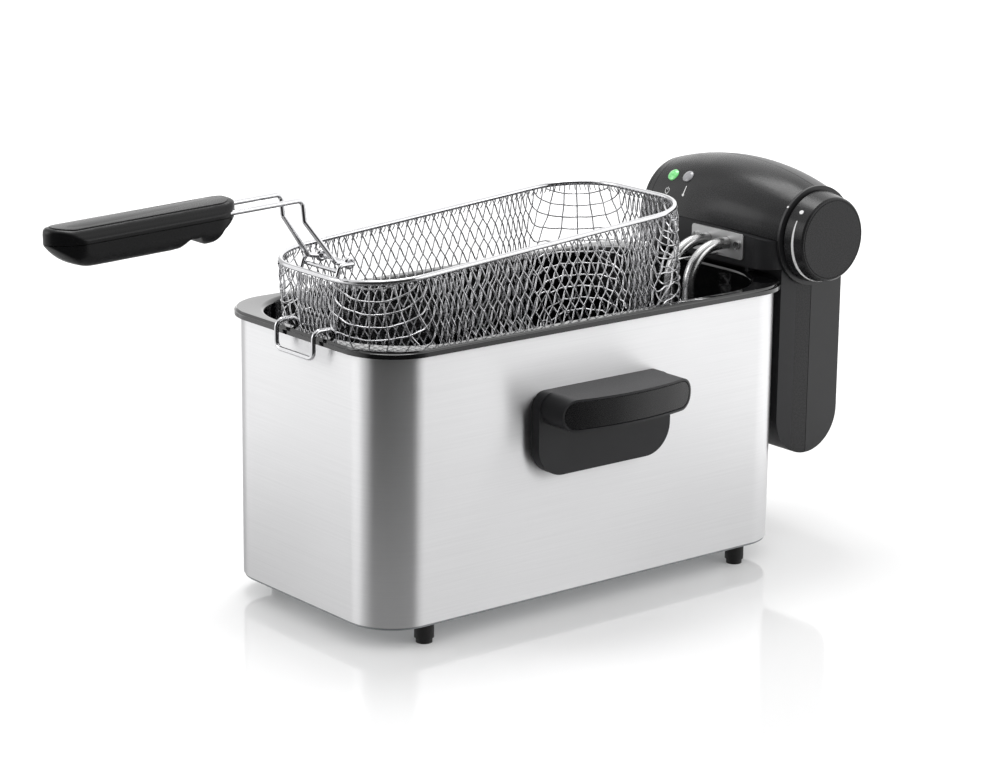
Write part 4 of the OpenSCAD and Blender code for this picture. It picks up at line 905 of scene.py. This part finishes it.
def make_hook():
    """The hanging hook: over the flange, down its front and across."""
    tail = HOOK_Z - HOOK_TAIL
    corners = []
    for x, order in ((HOOK_LEFT, 1), (HOOK_RIGHT, -1)):
        side = [(x, wall_y(tail) - HOOK_OUT, tail), (x, wall_y(HOOK_Z) - HOOK_OUT, HOOK_Z),
                (x, HOOK_Y, HOOK_Z), (x, HOOK_Y, HOOK_LOW)]
        corners += side[::order]
    wire_piece("hook_wire", [bent(corners, HOOK_BEND_R)], HOOK_D, "basket", "basket_hook")


def make_bracket():
    """Uprights inside the front wall that turn back to hold the pivot rod, and a stop rod under it."""
    runs = []
    for x in (-LEG_X, LEG_X):
        runs.append(bent([(x, wall_y(LEG_FOOT_Z) + LEG_IN, LEG_FOOT_Z), (x, ELBOW_Y - LEG_BEND_R, LEG_BEND_Z),
                          (x, ELBOW_Y, PIVOT_Z), (x, PIVOT_Y, PIVOT_Z)], LEG_BEND_R))
    runs.append([(-LEG_X - 1, PIVOT_Y, PIVOT_Z), (LEG_X + 1, PIVOT_Y, PIVOT_Z)])
    runs.append([(x, ELBOW_Y + 1, PIVOT_Z - STOP_ROD_DROP) for x in (-LEG_X, LEG_X)])
    wire_piece("bracket_wire", runs, LEG_D, "basket", "handle_bracket")


def make_rods():
    """The handle's two rods: along the grip, down to an elbow, and back to an eye on the pivot rod."""
    runs = []
    for side in (-1, 1):
        eye_x = side * ELBOW_X
        runs.append(bent([(side * ROD_X, *GRIP_ROD), (side * ROD_X, *UPPER_BEND), (side * ROD_X, *LOWER_BEND),
                          (eye_x, ELBOW_Y, ELBOW_Z), (eye_x, PIVOT_Y - EYE_R, PIVOT_Z)], ROD_BEND_R))
        turn = [math.radians(a) for a in range(0, 361, 24)]
        runs.append([(eye_x, PIVOT_Y - EYE_R * math.cos(a), PIVOT_Z + EYE_R * math.sin(a)) for a in turn])
    wire_piece("handle_wire", runs, ROD_D, "handle", "handle_rods")


# ---- grip
def in_grip(v):
    """A point in the grip's own frame, in millimetres: across, along from the rods' bend, and up."""
    c, s = math.cos(GRIP_DROOP), math.sin(GRIP_DROOP)
    y, z = v.y / MM - GRIP_BEND[0], v.z / MM - GRIP_BEND[1]
    return v.x / MM, -(y * c + z * s), z * c - y * s


def from_grip(x, u, z):
    """The way back: from the grip's own frame to the scene's, in metres."""
    c, s = math.cos(GRIP_DROOP), math.sin(GRIP_DROOP)
    return Vector((x, GRIP_BEND[0] - u * c - z * s, GRIP_BEND[1] - u * s + z * c)) * MM


def shape_grip(o, lift):
    """Deepens the grip, crowns its top, rounds it off towards its far end and draws it out a little."""
    for v in o.data.vertices:
        x, u, z = in_grip(v.co)
        if z < GRIP_SEAM:
            share = min(max((u - (GRIP_END - TOE_RISE)) / TOE_RISE, 0), 0.995)
            z = GRIP_SEAM + (z - GRIP_SEAM) * GRIP_DEEPER * (0.06 + 0.94 * math.sqrt(1 - share ** 2))
        elif z > 0:
            z = z * (1 + 0.5 * (GRIP_DEEPER - 1)) - GRIP_CROWN * min(z / CROWN_FROM, 1) * (x / GRIP_HALF) ** 2
        toe = min(max((u - (GRIP_END - TOE_ROUND)) / TOE_ROUND, 0), 1)
        u -= TOE_ARC * toe * (x / GRIP_HALF) ** 2
        u += GRIP_LONGER * min(max((u - LONGER_FROM) / (GRIP_END - LONGER_FROM), 0), 1)
        v.co = from_grip(x, u, z + lift)


def make_grip():
    """A moulded grip with well rounded edges, split along its seam, and the panel let into its top."""
    seam = from_grip(0, 0, GRIP_SEAM)
    up = (from_grip(0, 0, 1) - from_grip(0, 0, 0)).normalized()
    upper = cad_copy("grip_upper", "grip_lower", "grip_panel")
    modifier(upper, "REMESH", mode="VOXEL", voxel_size=GRIP_VOXEL * MM)
    modifier(upper, "SMOOTH", factor=0.5, iterations=GRIP_SMOOTHING)
    shape_grip(upper, 0)
    only(upper)
    bpy.ops.object.duplicate()
    lower = bpy.context.object
    for o, name, slot, side, replaced in (
            (upper, "grip_top_shell", "grip_plastic", 1, "grip_upper"),
            (lower, "grip_bottom_shell", "handle_plastic", -1, "grip_lower")):
        edit(o)
        bpy.ops.mesh.bisect(plane_co=seam + up * side * SEAM_GAP / 2 * MM, plane_no=up, use_fill=True,
                            clear_inner=side > 0, clear_outer=side < 0)
        only(o)
        smooth(o, 50)
        dress(o, name, "handle", slot, GRIP, replaced)
    panel = softened("grip_panel", 0.35)
    shape_grip(panel, PANEL_LIFT)
    dress(panel, "grip_top_panel", "handle", "inlay_plastic", PANEL, "grip_panel")
    paint(ZINC, "grip_screws")


# ---- printed signs
def barrel_radius(x):
    return BARREL_R - BARREL_ARC + math.sqrt(BARREL_ARC ** 2 - x ** 2)


def collar_radius(x):
    return COLLAR_R


def skirt_radius(x):
    return KNOB_R + (KNOB_TIP_R - KNOB_R) * (x - KNOB_BASE_X) / (KNOB_TOP_X - KNOB_BASE_X)


def on_head(o, name, x, degrees, radius_at, body):
    """Wraps a flat sign round the head's axis: its X runs along the head, its Y upwards round it."""
    for v in o.data.vertices:
        along, up, lift = (c / MM for c in v.co)
        r = radius_at(x + along) + SIGN_GAP + lift
        a = math.radians(degrees) + up / r
        v.co = Vector((x + along, HEAD_Y - r * math.cos(a), HEAD_Z + r * math.sin(a))) * MM
    face_out(o)
    dress(o, name, body, "white_plastic", PRINT)


def disc(radius, up=0):
    """A printed dot, a little up from the origin, in millimetres."""
    only()
    bpy.ops.mesh.primitive_circle_add(vertices=28, radius=radius * MM, fill_type="NGON",
                                      location=(0, up * MM, 0))
    o = done(bpy.context.object)
    edit(o)
    bpy.ops.mesh.inset(thickness=radius * 0.4 * MM)
    bpy.ops.mesh.select_all(action="SELECT")
    rise(INK)
    only(o)
    return o


def bar(width, length, up):
    """A printed upright stroke with round ends, a little up from the origin, in millimetres."""
    o = flat(width / 2, length / 2, up)
    bpy.ops.mesh.bevel(offset=width * 0.45 * MM, segments=4, affect="VERTICES")
    bpy.ops.mesh.select_all(action="SELECT")
    rise(INK)
    only(o)
    return o


def open_ring(radius, width, gap):
    """A printed ring, open at the top by a gap in degrees."""
    only()
    bpy.ops.mesh.primitive_circle_add(vertices=36, radius=radius * MM, fill_type="NGON")
    o = bpy.context.object
    edit(o)
    bpy.ops.mesh.inset(thickness=width * MM)
    bpy.ops.mesh.delete(type="FACE")
    edit(o, "DESELECT")
    pick(o, "faces", lambda f: abs(math.atan2(f.calc_center_median().x, f.calc_center_median().y))
         < math.radians(gap / 2))
    bpy.ops.mesh.delete(type="FACE")
    edit(o)
    rise(INK)
    only(o)
    return o


def swelling_line():
    """A printed line that is thickest at its middle."""
    line = flat(0.5, 0.5 * ARC_LENGTH)
    pick(line, "edges", lambda e: abs(e.verts[0].co.x - e.verts[1].co.x) < 1e-9)
    bpy.ops.mesh.subdivide(number_cuts=ARC_STEPS)
    edit(line)
    rise(INK)
    only(line)
    for v in line.data.vertices:
        share = 0.5 + v.co.y / (ARC_LENGTH * MM)
        v.co.x *= 0.6 + 1.5 * math.sin(math.pi * min(max(share, 0), 1)) ** 0.8
    return line


def joined(*objects):
    only(*objects)
    bpy.ops.object.join()
    return objects[0]


def make_signs():
    """White printed signs: power and thermometer by the lamps, dots and a swelling line on the knob."""
    power = joined(open_ring(2.5, 0.5, 60), bar(0.5, 2.6, 1.7))
    on_head(power, "power_sign", *POWER_AT, barrel_radius, "head")
    heat = joined(bar(0.9, 6.4, 1.2), disc(1.15, -2.6))
    on_head(heat, "heat_sign", *HEAT_AT, barrel_radius, "head")
    on_head(disc(0.85), "collar_dot", COLLAR_DOT_X, COLLAR_DOT_UP, collar_radius, "head")
    on_head(disc(1.6), "knob_dot", KNOB_SIGNS_X, KNOB_DOT_UP, skirt_radius, "knob")
    on_head(swelling_line(), "knob_line", KNOB_SIGNS_X, ARC_UP, skirt_radius, "knob")


# ---- pieces dressed on the CAD shapes
def dress_shell():
    """The side handles get rounded edges, and the small parts keep their CAD shapes."""
    for side in ("right", "left"):
        body = softened(f"side_handle_{side}", 1.2)
        dress(body, f"handle_body_{side}", "shell", "handle_plastic", HANDLE, f"side_handle_{side}")
        inlay = softened(f"handle_inlay_{side}", 0.4)
        dress(inlay, f"handle_face_{side}", "shell", "inlay_plastic", INLAY, f"handle_inlay_{side}")
    paint(SHEET, "base_plate")
    paint(FOOT, "feet")
    paint(ZINC, "foot_screws", "handle_screws", "bracket_screws")
    paint(HANDLE, "head_bracket")


def dress_head():
    """The head's mouldings and the knob get rounded edges, and the small parts keep their CAD shapes."""
    for node, name, body, width, slot, material in (
            ("head_fascia", "fascia", "head", 0.5, "head_plastic", HEAD),
            ("front_housing", "housing", "head", 1.0, "handle_plastic", HANDLE),
            ("rear_cover", "back_cover", "head", 0.8, "head_plastic", COVER),
            ("end_cap", "round_cap", "head", 1.2, "head_plastic", HEAD),
            ("knob_collar", "collar_ring", "head", 0.5, "head_plastic", COVER),
            ("element_plate", "mounting_plate", "head", 0.25, "element_steel", PLATE),
            ("knob", "knob_body", "knob", 0.8, "knob_plastic", HEAD),
            ("knob_face", "knob_disc", "knob", 0.4, "knob_plastic", HEAD)):
        dress(softened(node, width), name, body, slot, material, node)
    paint(ZINC, "cover_screws")
    # The element's ferrules are painted black: painted shade, a dark ring round each tube end where it leaves
    # the plate
    paint(SWITCH, "element_ferrules", "interlock_switch", "cord_gland")
    paint(SATIN, "heating_element", "element_screws", "element_terminals", "thermostat_bulb",
          "capillary_tube", "bulb_clips", "thermostat_body", "thermal_cutout", "thermostat_shaft")
    paint(GREEN_LENS, "power_lamp_lens")
    paint(CLEAR_LENS, "heat_lamp_lens")
    paint(CERAMIC, "lamp_holders", "terminal_block")
    paint(LEADS, "wiring_loom")


make_camera()
make_lamps()
make_room()
make_floor()
make_shell()
make_pot()
dress_shell()
dress_head()
make_wire_cloth()
make_rim()
make_hook()
make_bracket()
make_rods()
make_grip()
make_signs()
